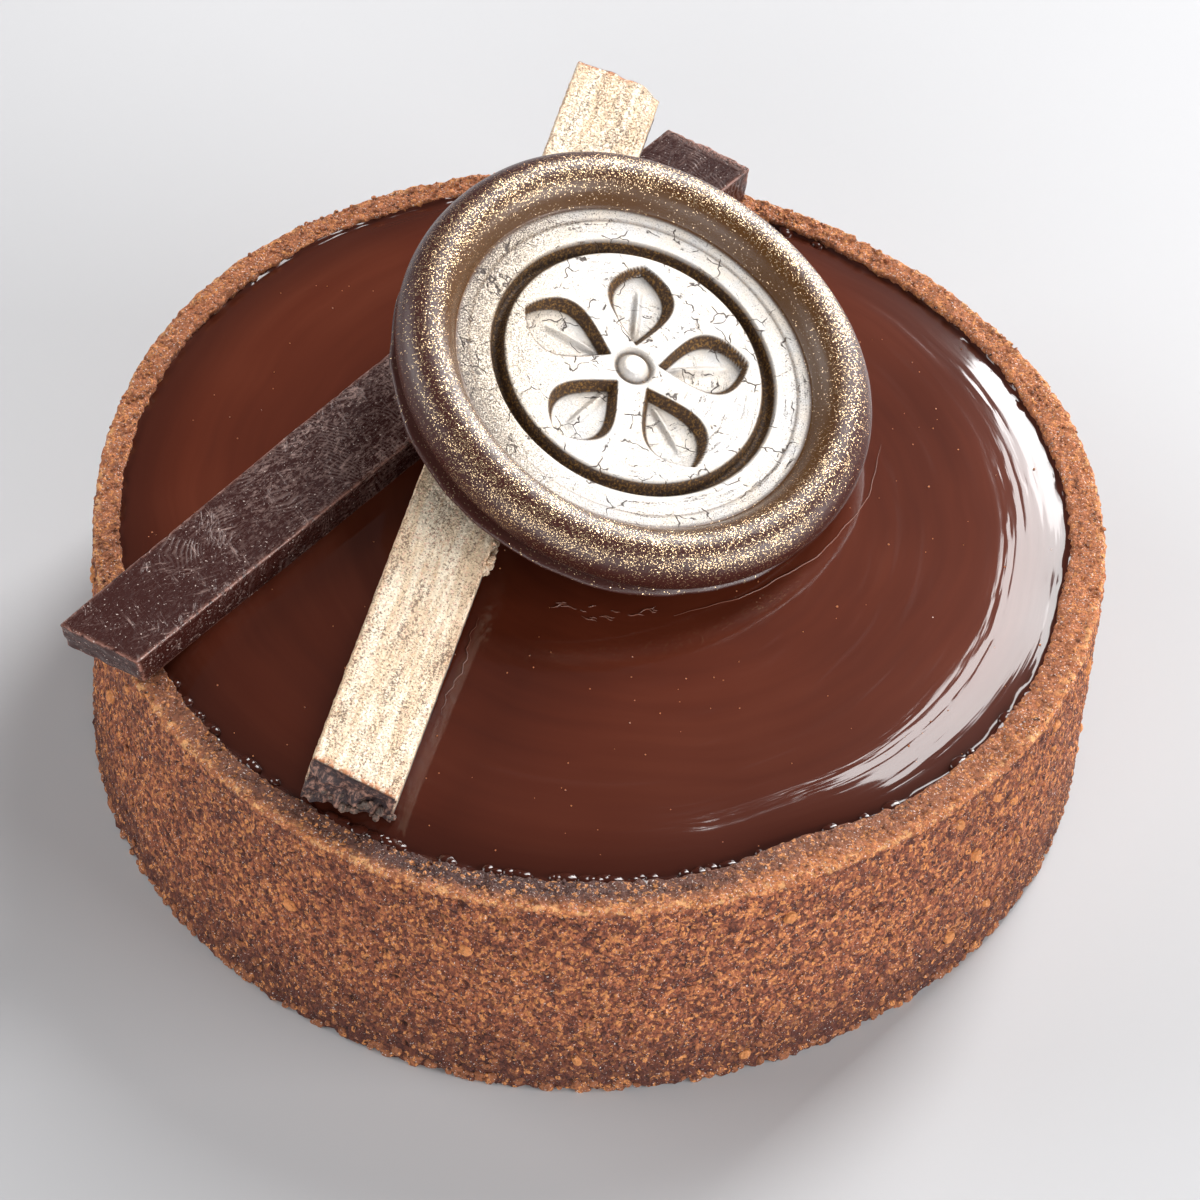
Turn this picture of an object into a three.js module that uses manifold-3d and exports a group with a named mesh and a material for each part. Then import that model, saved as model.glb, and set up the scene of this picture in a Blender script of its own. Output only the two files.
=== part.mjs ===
// A small round chocolate tart: a cocoa shortcrust shell filled with glossy
// ganache, with two crossed chocolate sticks and a leaning chocolate seal on it.
// Millimetres, +Z up. The origin is the centre of the underside of the shell.
import * as THREE from 'three';
import { mergeVertices } from 'three/addons/utils/BufferGeometryUtils.js';
import Module from 'manifold-3d';

const wasm = await Module();
wasm.setup();

// Shell, as lined into a 75 mm tart ring.
const SHELL_RADIUS = 37.45;
const SHELL_HEIGHT = 20.86;
const RIM_WIDTH = 2.3;
const FLOOR_THICKNESS = 3.2;
const FOOT_ROUNDING = 0.5;
const RIM_ROUNDING = 0.45;
const SHELL_SIDES = 96;
// How far in from both faces the middle of a rounded corner lies, for a radius of 1.
const ROUND_CORNER = 1 - Math.SQRT1_2;
// Unevenness of round outlines: each wave is [count round the circle, depth, degrees].
const SHELL_WAVES = [[2, 0.19, 7], [3, 0.38, 18], [4, 0.1, 60], [6, 0.1, 175]];
const BORE_WAVES = [[1, 0.45, 118], [2, 0.25, 20], [3, 0.25, 18]];
const RIM_DIPS = [[1, 0.08, 40], [3, 0.09, 150], [5, 0.05, 20]];
const DEEPEST_DIP = 0.22;

// Filling: brim-full and flat in the middle, rounding down to the shell at its edge.
const FILLING_TOP = 20.7;
const SHOULDER_WIDTH = 6.5;
const SHOULDER_DROP = 0.85;
const SHOULDER_STEPS = 6;

// Clearance between solids that touch.
const GAP = 0.3;

// Dark stick: lies flat across the rim.
const DARK_STICK = {
  length: 69.4,
  widthNear: 6.6,
  widthFar: 7.5,
  thickness: 2.7,
  nearSkew: -1.1,
  farSkew: -0.95,
  nearLean: 0.9,
  farLean: -0.7,
  heading: 53.45,
  pitch: 0,
  roll: 0,
};
const DARK_STICK_NEAR_END = [-34.86, -18.5, SHELL_HEIGHT + GAP];

// Gold stick: climbs from the filling over the dark stick, leaning to its right.
const GOLD_STICK = {
  length: 70.8,
  widthNear: 6.7,
  widthFar: 7.0,
  thickness: 3.1,
  nearSkew: 1.04,
  farSkew: 0.15,
  nearLean: -0.5,
  farLean: 0.2,
  heading: 77.85,
  pitch: 4.36,
  roll: 9.5,
};
const GOLD_STICK_NEAR_END = [-16.1, -30.0, 21.3];
const STICK_CHAMFER = 0.25;
const STICK_STEPS = 10;

// Seal: a disc of chocolate with a fat rim round a sunken face.
const SEAL_RADIUS = 18.5;
const SEAL_SIDES = 72;
const SEAL_WAVES = [[1, 0.19, 275], [2, 0.33, 258], [3, 0.22, 345], [4, 0.21, 46]];
const SEAL_CENTRE = [1.24, 8.71, 26.34];
const SEAL_TILT = 17.9;
const SEAL_LEAN = -31.7;
const FACE_RADIUS = 13.9;
const FACE_HEIGHT = 2.2;
const ROLL_TOP = 4.3;
const ROLL_HALF_WIDTH = 2.2;
const ROLL_END_ANGLE = 165;
const ROLL_STEPS = 11;
const RING_RADIUS = 10.6;
const RING_WIDTH = 1.1;
const RING_DEPTH = 0.9;

// Blossom pressed into the face of the seal.
const PETALS = 5;
const PETAL_INNER = 1.9;
const PETAL_OUTER = 9.2;
const PETAL_HALF_WIDTH = 2.6;
const PETAL_DEPTH = 0.9;
const PETAL_FULLNESS = 1.35;
const PETAL_BLUNTNESS = 0.75;
const PETAL_TURN = 18;
const PETAL_STEPS = 10;

const CRUST = new THREE.MeshStandardMaterial({ color: 0x6b3a20, roughness: 0.9, metalness: 0 });
const GANACHE = new THREE.MeshStandardMaterial({ color: 0x3a150c, roughness: 0.08, metalness: 0 });
const DARK_CHOCOLATE = new THREE.MeshStandardMaterial({ color: 0x24100f, roughness: 0.4, metalness: 0 });
const GOLD_DUST = new THREE.MeshStandardMaterial({ color: 0xcdb08a, roughness: 0.45, metalness: 0.6 });
const BRONZED = new THREE.MeshStandardMaterial({ color: 0x7a5a48, roughness: 0.35, metalness: 0.5 });

const radians = THREE.MathUtils.degToRad;

// Sum of waves at an angle: the distance an uneven outline stands off its circle.
function unevenness(waves, angle) {
  let offset = 0;
  for (const [count, depth, phase] of waves) {
    offset += depth * Math.cos(count * angle - radians(phase));
  }
  return offset;
}

// Keeps positions only and joins shared vertices, so that the body is closed.
function closed(geometry) {
  geometry.deleteAttribute('normal');
  geometry.deleteAttribute('uv');
  return mergeVertices(geometry, 1e-4);
}

// Turns a profile of [radius, height] points about Z.
function turned(profile, sides) {
  const points = profile.map(([radius, height]) => new THREE.Vector2(radius, height));
  const geometry = new THREE.LatheGeometry(points, sides);
  geometry.rotateX(Math.PI / 2);
  return closed(geometry);
}

// Moves every vertex by a rule that is given its radius, angle and height.
function reshaped(geometry, rule) {
  const position = geometry.attributes.position;
  for (let i = 0; i < position.count; i += 1) {
    const x = position.getX(i);
    const y = position.getY(i);
    const angle = Math.atan2(y, x);
    const [radius, height] = rule(Math.hypot(x, y), angle, position.getZ(i));
    position.setXYZ(i, radius * Math.cos(angle), radius * Math.sin(angle), height);
  }
  return geometry;
}

function boreRadius(angle) {
  return SHELL_RADIUS - RIM_WIDTH + unevenness(BORE_WAVES, angle);
}

function shellGeometry() {
  const bore = SHELL_RADIUS - RIM_WIDTH;
  const profile = [
    [0, 0],
    [SHELL_RADIUS - FOOT_ROUNDING, 0],
    [SHELL_RADIUS - FOOT_ROUNDING * ROUND_CORNER, FOOT_ROUNDING * ROUND_CORNER],
    [SHELL_RADIUS, FOOT_ROUNDING],
    [SHELL_RADIUS, SHELL_HEIGHT / 2],
    [SHELL_RADIUS, SHELL_HEIGHT - RIM_ROUNDING],
    [SHELL_RADIUS - RIM_ROUNDING, SHELL_HEIGHT],
    [bore + RIM_ROUNDING, SHELL_HEIGHT],
    [bore, SHELL_HEIGHT - RIM_ROUNDING],
    [bore, FLOOR_THICKNESS],
    [0, FLOOR_THICKNESS],
  ];
  const midWall = SHELL_RADIUS - RIM_WIDTH / 2;
  return reshaped(turned(profile, SHELL_SIDES), (radius, angle, height) => {
    const outside = radius > midWall || height === 0;
    const waves = outside ? SHELL_WAVES : BORE_WAVES;
    const onRim = height > SHELL_HEIGHT - 2 * RIM_ROUNDING;
    const dip = onRim ? unevenness(RIM_DIPS, angle) - DEEPEST_DIP : 0;
    return [radius + unevenness(waves, angle) * Math.min(1, radius / bore), height + dip];
  });
}

// Height of the filling's surface at a distance in from its edge.
function fillingHeight(inset) {
  const run = Math.min(1, inset / SHOULDER_WIDTH);
  return FILLING_TOP - SHOULDER_DROP * (1 - run) ** 2;
}

function fillingGeometry() {
  const radius = SHELL_RADIUS - RIM_WIDTH - GAP;
  const base = FLOOR_THICKNESS + GAP;
  const profile = [[0, base], [radius, base]];
  for (let step = 0; step <= SHOULDER_STEPS; step += 1) {
    const inset = (SHOULDER_WIDTH * step) / SHOULDER_STEPS;
    profile.push([radius - inset, fillingHeight(inset)]);
  }
  profile.push([radius / 2, FILLING_TOP], [0, FILLING_TOP]);
  return reshaped(turned(profile, SHELL_SIDES), (distance, angle, height) => {
    const share = (distance / radius) ** 2;
    return [distance + (boreRadius(angle) - SHELL_RADIUS + RIM_WIDTH) * share, height];
  });
}

// A chamfered bar along +X, resting on Z = 0 and centred on Y, with slanting ends.
function stickGeometry(stick) {
  const half = 0.5;
  const side = STICK_CHAMFER / stick.widthNear;
  const edge = STICK_CHAMFER / stick.thickness;
  const section = new THREE.Shape();
  section.moveTo(-half + side, 0);
  section.lineTo(half - side, 0);
  section.lineTo(half, edge);
  section.lineTo(half, 1 - edge);
  section.lineTo(half - side, 1);
  section.lineTo(-half + side, 1);
  section.lineTo(-half, 1 - edge);
  section.lineTo(-half, edge);
  section.closePath();
  const geometry = new THREE.ExtrudeGeometry(section, {
    depth: 1,
    steps: STICK_STEPS,
    bevelEnabled: false,
  });
  const position = geometry.attributes.position;
  for (let i = 0; i < position.count; i += 1) {
    const across = position.getX(i);
    const up = position.getY(i);
    const along = position.getZ(i);
    const width = THREE.MathUtils.lerp(stick.widthNear, stick.widthFar, along);
    const skew = THREE.MathUtils.lerp(stick.nearSkew, stick.farSkew, along);
    const lean = THREE.MathUtils.lerp(stick.nearLean, stick.farLean, along);
    position.setXYZ(
      i,
      along * stick.length + skew * across + lean * (0.5 - up),
      across * width,
      up * stick.thickness,
    );
  }
  return closed(geometry);
}

// Turns and sets down a stick so that the middle of its near end is at a point.
function placeStick(mesh, stick, nearEnd) {
  mesh.rotation.order = 'ZYX';
  mesh.rotation.set(radians(stick.roll), radians(-stick.pitch), radians(stick.heading));
  mesh.position.set(...nearEnd);
}

// From the middle of the underside out round the rolled rim and in over the face.
function sealProfile() {
  const rollCentre = SEAL_RADIUS - ROLL_HALF_WIDTH;
  const rollHalfHeight = (ROLL_TOP - GAP) / 2;
  const profile = [[0, GAP]];
  for (let step = 0; step <= ROLL_STEPS; step += 1) {
    const angle = radians(-90 + ((90 + ROLL_END_ANGLE) * step) / ROLL_STEPS);
    profile.push([
      rollCentre + ROLL_HALF_WIDTH * Math.cos(angle),
      GAP + rollHalfHeight * (1 + Math.sin(angle)),
    ]);
  }
  profile.push(
    [FACE_RADIUS, FACE_HEIGHT],
    [RING_RADIUS + RING_WIDTH / 2, FACE_HEIGHT],
    [RING_RADIUS, FACE_HEIGHT - RING_DEPTH],
    [RING_RADIUS - RING_WIDTH / 2, FACE_HEIGHT],
    [0, FACE_HEIGHT],
  );
  return profile;
}

// One petal's outline, pointed at both ends, as a prism that cuts the face.
function petalGeometry(turn) {
  const outline = new THREE.Shape();
  const length = PETAL_OUTER - PETAL_INNER;
  for (const side of [1, -1]) {
    for (let step = 0; step < PETAL_STEPS; step += 1) {
      const run = side === 1 ? step / PETAL_STEPS : 1 - step / PETAL_STEPS;
      const bulge = Math.sin(Math.PI * run ** PETAL_FULLNESS) ** PETAL_BLUNTNESS;
      const point = [PETAL_INNER + length * run, side * PETAL_HALF_WIDTH * bulge];
      if (side === 1 && step === 0) {
        outline.moveTo(...point);
      } else {
        outline.lineTo(...point);
      }
    }
  }
  outline.closePath();
  const geometry = new THREE.ExtrudeGeometry(outline, { depth: FACE_HEIGHT, bevelEnabled: false });
  geometry.translate(0, 0, FACE_HEIGHT - PETAL_DEPTH);
  geometry.rotateZ(turn);
  return closed(geometry);
}

function toManifold(geometry) {
  const mesh = new wasm.Mesh({
    numProp: 3,
    vertProperties: new Float32Array(geometry.attributes.position.array),
    triVerts: new Uint32Array(geometry.index.array),
  });
  return new wasm.Manifold(mesh);
}

function fromManifold(solid) {
  const mesh = solid.getMesh();
  const geometry = new THREE.BufferGeometry();
  geometry.setAttribute('position', new THREE.BufferAttribute(mesh.vertProperties, 3));
  geometry.setIndex(new THREE.BufferAttribute(mesh.triVerts, 1));
  return geometry;
}

function sealGeometry() {
  const disc = reshaped(turned(sealProfile(), SEAL_SIDES), (radius, angle, height) => {
    const share = THREE.MathUtils.smoothstep(radius, RING_RADIUS, SEAL_RADIUS);
    return [radius + unevenness(SEAL_WAVES, angle) * share, height];
  });
  let solid = toManifold(disc);
  for (let petal = 0; petal < PETALS; petal += 1) {
    const turn = radians(PETAL_TURN + (360 / PETALS) * petal);
    solid = solid.subtract(toManifold(petalGeometry(turn)));
  }
  return fromManifold(solid);
}

// Tips the seal so that its face leans towards the lean direction.
function placeSeal(mesh) {
  const lean = radians(SEAL_LEAN);
  const tilt = radians(SEAL_TILT);
  const normal = new THREE.Vector3(
    Math.sin(tilt) * Math.cos(lean),
    Math.sin(tilt) * Math.sin(lean),
    Math.cos(tilt),
  );
  mesh.quaternion.setFromUnitVectors(new THREE.Vector3(0, 0, 1), normal);
  mesh.position.set(...SEAL_CENTRE);
}

function named(name, geometry, material) {
  const mesh = new THREE.Mesh(geometry, material);
  mesh.name = name;
  return mesh;
}

const darkStick = named('dark_stick', stickGeometry(DARK_STICK), DARK_CHOCOLATE);
placeStick(darkStick, DARK_STICK, DARK_STICK_NEAR_END);

const goldStick = named('gold_stick', stickGeometry(GOLD_STICK), GOLD_DUST);
placeStick(goldStick, GOLD_STICK, GOLD_STICK_NEAR_END);

const seal = named('seal', sealGeometry(), BRONZED);
placeSeal(seal);

const group = new THREE.Group();
group.add(named('crust', shellGeometry(), CRUST));
group.add(named('filling', fillingGeometry(), GANACHE));
group.add(darkStick, goldStick, seal);

export default group;
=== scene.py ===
"""A small chocolate tart: cocoa crust, glossy glaze, two chocolate sticks and a dusted seal.

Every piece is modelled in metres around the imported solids, whose outlines, axes
and corners are measured here, so that nothing has to be fitted afterwards.
"""

import logging
import math
import random
from dataclasses import dataclass
from enum import Enum
from typing import Sequence, Union

import bmesh
import bpy
import numpy as np
from mathutils import Matrix, Vector, noise


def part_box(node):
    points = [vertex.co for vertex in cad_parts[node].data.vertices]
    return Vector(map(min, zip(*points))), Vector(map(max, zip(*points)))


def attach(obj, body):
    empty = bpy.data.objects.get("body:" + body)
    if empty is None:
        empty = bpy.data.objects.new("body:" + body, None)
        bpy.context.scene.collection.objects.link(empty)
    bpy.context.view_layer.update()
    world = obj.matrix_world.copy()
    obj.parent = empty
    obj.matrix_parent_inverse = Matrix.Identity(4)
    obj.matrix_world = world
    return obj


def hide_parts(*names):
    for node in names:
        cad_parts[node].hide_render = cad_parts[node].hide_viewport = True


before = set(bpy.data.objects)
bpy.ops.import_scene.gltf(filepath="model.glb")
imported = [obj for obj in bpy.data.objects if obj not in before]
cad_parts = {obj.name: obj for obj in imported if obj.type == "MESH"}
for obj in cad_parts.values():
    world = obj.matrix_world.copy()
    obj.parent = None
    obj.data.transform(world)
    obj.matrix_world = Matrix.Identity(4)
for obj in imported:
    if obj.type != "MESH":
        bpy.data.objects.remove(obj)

MM = 0.001
BODY = "root"
LOG = logging.getLogger("tart")

Colour = tuple[float, float, float]
Point = tuple[float, float]
Piece = bpy.types.Object


class Grain(Enum):
    """Kinds of relief that a surface can be given."""

    CLOUDS = "CLOUDS"
    PEBBLES = "VORONOI"


class Slot(Enum):
    """Material slots of the record."""

    CRUST = "cocoa_crust"
    GLAZE = "ganache"
    DARK = "dark_chocolate"
    GOLD = "gold_dusted_chocolate"
    BRONZE = "bronze_dusted_chocolate"


# --------------------------------------------------------------------- shading


class Wire:
    """The output of a shader node, with arithmetic on it."""

    def __init__(self, recipe: "Recipe", socket: bpy.types.NodeSocket) -> None:
        """Keeps the socket and the recipe that it belongs to."""
        self.recipe = recipe
        self.socket = socket

    def _math(self, operation: str, first: "Amount", second: "Amount") -> "Wire":
        """Adds a Math node that works on two amounts."""
        return self.recipe.node("ShaderNodeMath", {"operation": operation}, {0: first, 1: second})

    def __add__(self, other: "Amount") -> "Wire":
        """Adds another amount."""
        return self._math("ADD", self, other)

    def __radd__(self, other: "Amount") -> "Wire":
        """Is added to another amount."""
        return self._math("ADD", other, self)

    def __sub__(self, other: "Amount") -> "Wire":
        """Takes another amount away."""
        return self._math("SUBTRACT", self, other)

    def __rsub__(self, other: "Amount") -> "Wire":
        """Is taken away from another amount."""
        return self._math("SUBTRACT", other, self)

    def __mul__(self, other: "Amount") -> "Wire":
        """Multiplies by another amount."""
        return self._math("MULTIPLY", self, other)

    def over(self, low: "Amount", high: "Amount") -> "Wire":
        """Rises smoothly from 0 at the low value to 1 at the high one."""
        return self.recipe.node(
            "ShaderNodeMapRange",
            {"interpolation_type": "SMOOTHSTEP"},
            {"Value": self, "From Min": low, "From Max": high},
        )


Amount = Union[Wire, float, Sequence[float]]


class Recipe:
    """Builds one node material around a Principled shader."""

    def __init__(self, name: str) -> None:
        """Starts a material of that name."""
        self.material = bpy.data.materials.new(name)
        self.material.use_nodes = True
        self.tree = self.material.node_tree
        self.surface = self.tree.nodes["Principled BSDF"]

    def node(
        self,
        kind: str,
        settings: dict | None = None,
        inputs: dict | None = None,
        output: int | str = 0,
    ) -> Wire:
        """Adds a node.

        Args:
            kind: type of the node.
            settings: its properties, with a ramp's stops under "stops".
            inputs: values or wires by socket name or number.
            output: socket that the wire starts from.

        Returns:
            The wire from that output.
        """
        made = self.tree.nodes.new(kind)
        for key, value in (settings or {}).items():
            if key == "stops":
                self._stops(made.color_ramp, value)
            else:
                setattr(made, key, value)
        for key, value in (inputs or {}).items():
            self.plug(made.inputs[key], value)
        return Wire(self, made.outputs[output])

    @staticmethod
    def _stops(ramp: bpy.types.ColorRamp, stops: Sequence[tuple[float, Colour]]) -> None:
        """Gives a ramp its stops, from a list of places and colours."""
        while len(ramp.elements) < len(stops):
            ramp.elements.new(1.0)
        for element, (place, colour) in zip(ramp.elements, stops):
            element.position = place
            element.color = (*colour, 1.0)

    def plug(self, socket: bpy.types.NodeSocket, value: Amount) -> None:
        """Links a wire to a socket, or sets a number or colour on it."""
        if isinstance(value, Wire):
            self.tree.links.new(value.socket, socket)
        elif socket.type == "RGBA" and len(value) == 3:
            socket.default_value = (*value, 1.0)
        else:
            socket.default_value = value

    def finish(self, **inputs: Amount) -> bpy.types.Material:
        """Sets the shader's sockets, named with _ for a space, and returns the material."""
        for key, value in inputs.items():
            self.plug(self.surface.inputs[key.replace("_", " ")], value)
        return self.material

    def place(self) -> Wire:
        """Position on the object in millimetres."""
        where = self.node("ShaderNodeTexCoord", output="Object")
        return self.scaled(where, 1.0 / MM)

    def own(self, name: str, output: str = "Fac") -> Wire:
        """An attribute of the mesh."""
        return self.node("ShaderNodeAttribute", {"attribute_name": name}, output=output)

    def scaled(self, vector: Wire, factor: Amount) -> Wire:
        """A vector made longer."""
        settings = {"operation": "SCALE"}
        return self.node("ShaderNodeVectorMath", settings, {0: vector, "Scale": factor})

    def stretched(self, vector: Wire, factors: Sequence[float]) -> Wire:
        """A vector scaled by three factors."""
        return self.node("ShaderNodeVectorMath", {"operation": "MULTIPLY"}, {0: vector, 1: factors})

    def shifted(self, vector: Wire, offset: Amount) -> Wire:
        """A vector with an offset added."""
        return self.node("ShaderNodeVectorMath", {"operation": "ADD"}, {0: vector, 1: offset})

    def part(self, vector: Wire, axis: str) -> Wire:
        """One of a vector's X, Y and Z."""
        return self.node("ShaderNodeSeparateXYZ", None, {0: vector}, axis)

    def vector(self, x: Amount, y: Amount, z: Amount) -> Wire:
        """A vector put together from three amounts."""
        return self.node("ShaderNodeCombineXYZ", None, {0: x, 1: y, 2: z})

    def length(self, vector: Wire) -> Wire:
        """Length of a vector."""
        return self.node("ShaderNodeVectorMath", {"operation": "LENGTH"}, {0: vector}, "Value")

    def warped(self, at: Wire, size: float, amount: float) -> Wire:
        """Positions pushed about by noise, so that grains lose their regular outlines."""
        inputs = {"Vector": at, "Scale": 1.0 / size, "Detail": 2.0}
        push = self.node("ShaderNodeTexNoise", None, inputs, "Color")
        return self.shifted(at, self.scaled(self.shifted(push, (-0.5, -0.5, -0.5)), amount))

    def noise(self, at: Wire, size: float, detail: float = 2.0, rough: float = 0.5) -> Wire:
        """Cloudy noise whose patches are about so many millimetres wide."""
        inputs = {"Vector": at, "Scale": 1.0 / size, "Detail": detail, "Roughness": rough}
        return self.node("ShaderNodeTexNoise", None, inputs)

    def cells(self, at: Wire, size: float, output: str = "Distance", edges: bool = False) -> Wire:
        """Grains about so many millimetres apart: distance from the middle, edge, or a colour."""
        feature = "DISTANCE_TO_EDGE" if edges else "F1"
        inputs = {"Vector": at, "Scale": 1.0 / size}
        return self.node("ShaderNodeTexVoronoi", {"feature": feature}, inputs, output)

    def chance(self, at: Wire, size: float, channel: str = "Red") -> Wire:
        """A random number for each grain."""
        colour = self.cells(at, size, "Color")
        return self.node("ShaderNodeSeparateColor", None, {0: colour}, channel)

    def ramp(self, value: Wire, stops: Sequence[tuple[float, Colour]]) -> Wire:
        """Colour from a value by a ramp's stops."""
        return self.node("ShaderNodeValToRGB", {"stops": stops}, {0: value}, "Color")

    def blend(self, factor: Amount, first: Amount, second: Amount) -> Wire:
        """Mixes two colours."""
        settings = {"data_type": "RGBA"}
        return self.node("ShaderNodeMix", settings, {0: factor, 6: first, 7: second}, 2)

    def bump(self, height: Wire, depth: float, normal: Wire | None = None) -> Wire:
        """Normal for a height between 0 and 1 that stands for a depth in millimetres."""
        inputs = {"Height": height, "Distance": depth * MM, "Strength": 1.0}
        if normal is not None:
            inputs["Normal"] = normal
        return self.node("ShaderNodeBump", None, inputs)

    def glitter(self, at: Wire, size: float, spread: Amount, normal: Wire) -> Wire:
        """Normal that turns each tiny flake its own way.

        Args:
            at: position in millimetres.
            size: width of a flake in millimetres.
            spread: how far the flakes tip.
            normal: normal that they tip from.

        Returns:
            The tipped normal.
        """
        facet = self.cells(at, size, "Color")
        tip = self.scaled(self.shifted(facet, (-0.5, -0.5, -0.5)), spread)
        added = self.shifted(normal, tip)
        return self.node("ShaderNodeVectorMath", {"operation": "NORMALIZE"}, {0: added})


@dataclass(frozen=True)
class BakedCrust:
    """Sandy cocoa shortcrust of many browns and sugar grains; painted glints, lip highlight and shade in
    pits, gaps and foot.
    """

    name: str = "baked_cocoa_crust"
    # Painted shade for the pits and for the gaps between grains.
    pit: Colour = (0.020, 0.008, 0.007)
    deep: Colour = (0.084, 0.0235, 0.0180)
    brown: Colour = (0.270, 0.078, 0.039)
    tan: Colour = (0.490, 0.152, 0.068)
    golden: Colour = (0.900, 0.365, 0.120)
    crest: Colour = (0.860, 0.300, 0.115)
    cream_highlight: Colour = (1.000, 0.540, 0.220)
    plum: Colour = (0.050, 0.020, 0.022)
    # Pale sugar grains, also whitened to stand in for their glints.
    sugar: Colour = (1.000, 0.880, 0.820)
    grain: float = 0.28
    relief: float = 0.24

    def material(self) -> bpy.types.Material:
        """Builds the material.

        Returns:
            A material that reads the attributes rim, lip, wet and pit.
        """
        recipe = Recipe(self.name)
        at = recipe.place()
        rim = recipe.own("rim")
        wet = recipe.own("wet")
        upright = recipe.stretched(at, (1.0, 1.0, 0.74))
        grains_at = recipe.warped(upright, 0.4, 0.22)
        fine = recipe.noise(upright, 0.21, 4.0, 0.72)
        chance = recipe.chance(grains_at, self.grain)
        middle = recipe.cells(grains_at, self.grain)
        clump = recipe.noise(upright, 0.95, 4.0, 0.65)
        mottle = (fine * 0.44 + clump * 0.34 + chance * 0.22 - 0.5) * 3.1 + 0.51
        stops = ((0.06, self.deep), (0.40, self.brown), (0.66, self.tan), (1.0, self.golden))
        colour = recipe.ramp(mottle, stops)
        blotch = recipe.noise(recipe.shifted(upright, (1.0, 6.0, 2.0)), 0.75, 3.0, 0.65)
        colour = recipe.blend(blotch.over(0.52, 0.60) * 0.58, colour, self.deep)
        # Darker towards the foot of the wall, in part as painted shade.
        foot_shade = recipe.part(at, "Z").over(9.0, 0.0) * 0.74
        shade = recipe.noise(at, 8.0, 2.0).over(0.35, 0.7) * 0.16
        colour = recipe.blend(foot_shade + shade, colour, self.deep)
        colour = recipe.blend(rim * 0.52, colour, self.crest)
        soaked = wet * recipe.noise(at, 0.6, 3.0, 0.7).over(0.22, 0.42)
        colour = recipe.blend(soaked * 0.92, colour, self.plum)
        # Painted shade in the gaps between the grains and in the small holes.
        gaps = middle.over(0.46, 0.76) * fine.over(0.56, 0.38)
        colour = recipe.blend(gaps * (0.7 - rim * 0.25), colour, self.pit)
        hole = recipe.noise(recipe.shifted(at, (7.0, 3.0, 1.0)), 0.42, 2.0, 0.5).over(0.685, 0.74)
        colour = recipe.blend(hole * 0.9, colour, self.pit)
        second = recipe.chance(grains_at, self.grain, "Green")
        warm = second.over(0.88 - rim * 0.10, 0.92 - rim * 0.10) * fine.over(0.42, 0.56)
        colour = recipe.blend(warm * 0.85, colour, self.golden)
        # Sugar grains, pale in their own right, whitened and smoothed further to paint their glints, more
        # of them on the rim.
        glint = recipe.noise(recipe.shifted(at, (3.0, 9.0, 4.0)), 0.15, 2.0, 0.6)
        sugar_and_glint = (glint + rim * 0.040 - wet * 0.015).over(0.665, 0.705)
        colour = recipe.blend(sugar_and_glint * 0.85, colour, self.sugar)
        lip = recipe.own("lip")
        crumbly = recipe.noise(at, 0.65, 3.0, 0.75)
        # Pale broken line along the outer lip: partly the lip's own colour, partly a painted highlight on
        # its rounded edge.
        pale = lip * crumbly.over(0.49, 0.58) * lip.over(1.5, 1.0)
        colour = recipe.blend((pale * 0.62).over(0.0, 1.0), colour, self.cream_highlight)
        colour = recipe.blend(lip.over(1.2, 2.0) * 0.8, colour, self.golden)
        # Painted shade in the pits pressed into the wall.
        colour = recipe.blend(recipe.own("pit").over(0.25, 0.9) * 0.85, colour, self.pit)
        normal = recipe.bump(1 - middle, self.relief)
        normal = recipe.bump(fine - hole * 0.5, self.relief, normal)
        return recipe.finish(
            Base_Color=colour,
            Roughness=0.85 - sugar_and_glint * 0.55 - wet * 0.25,
            Normal=normal,
            Specular_IOR_Level=0.4,
        )


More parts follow.
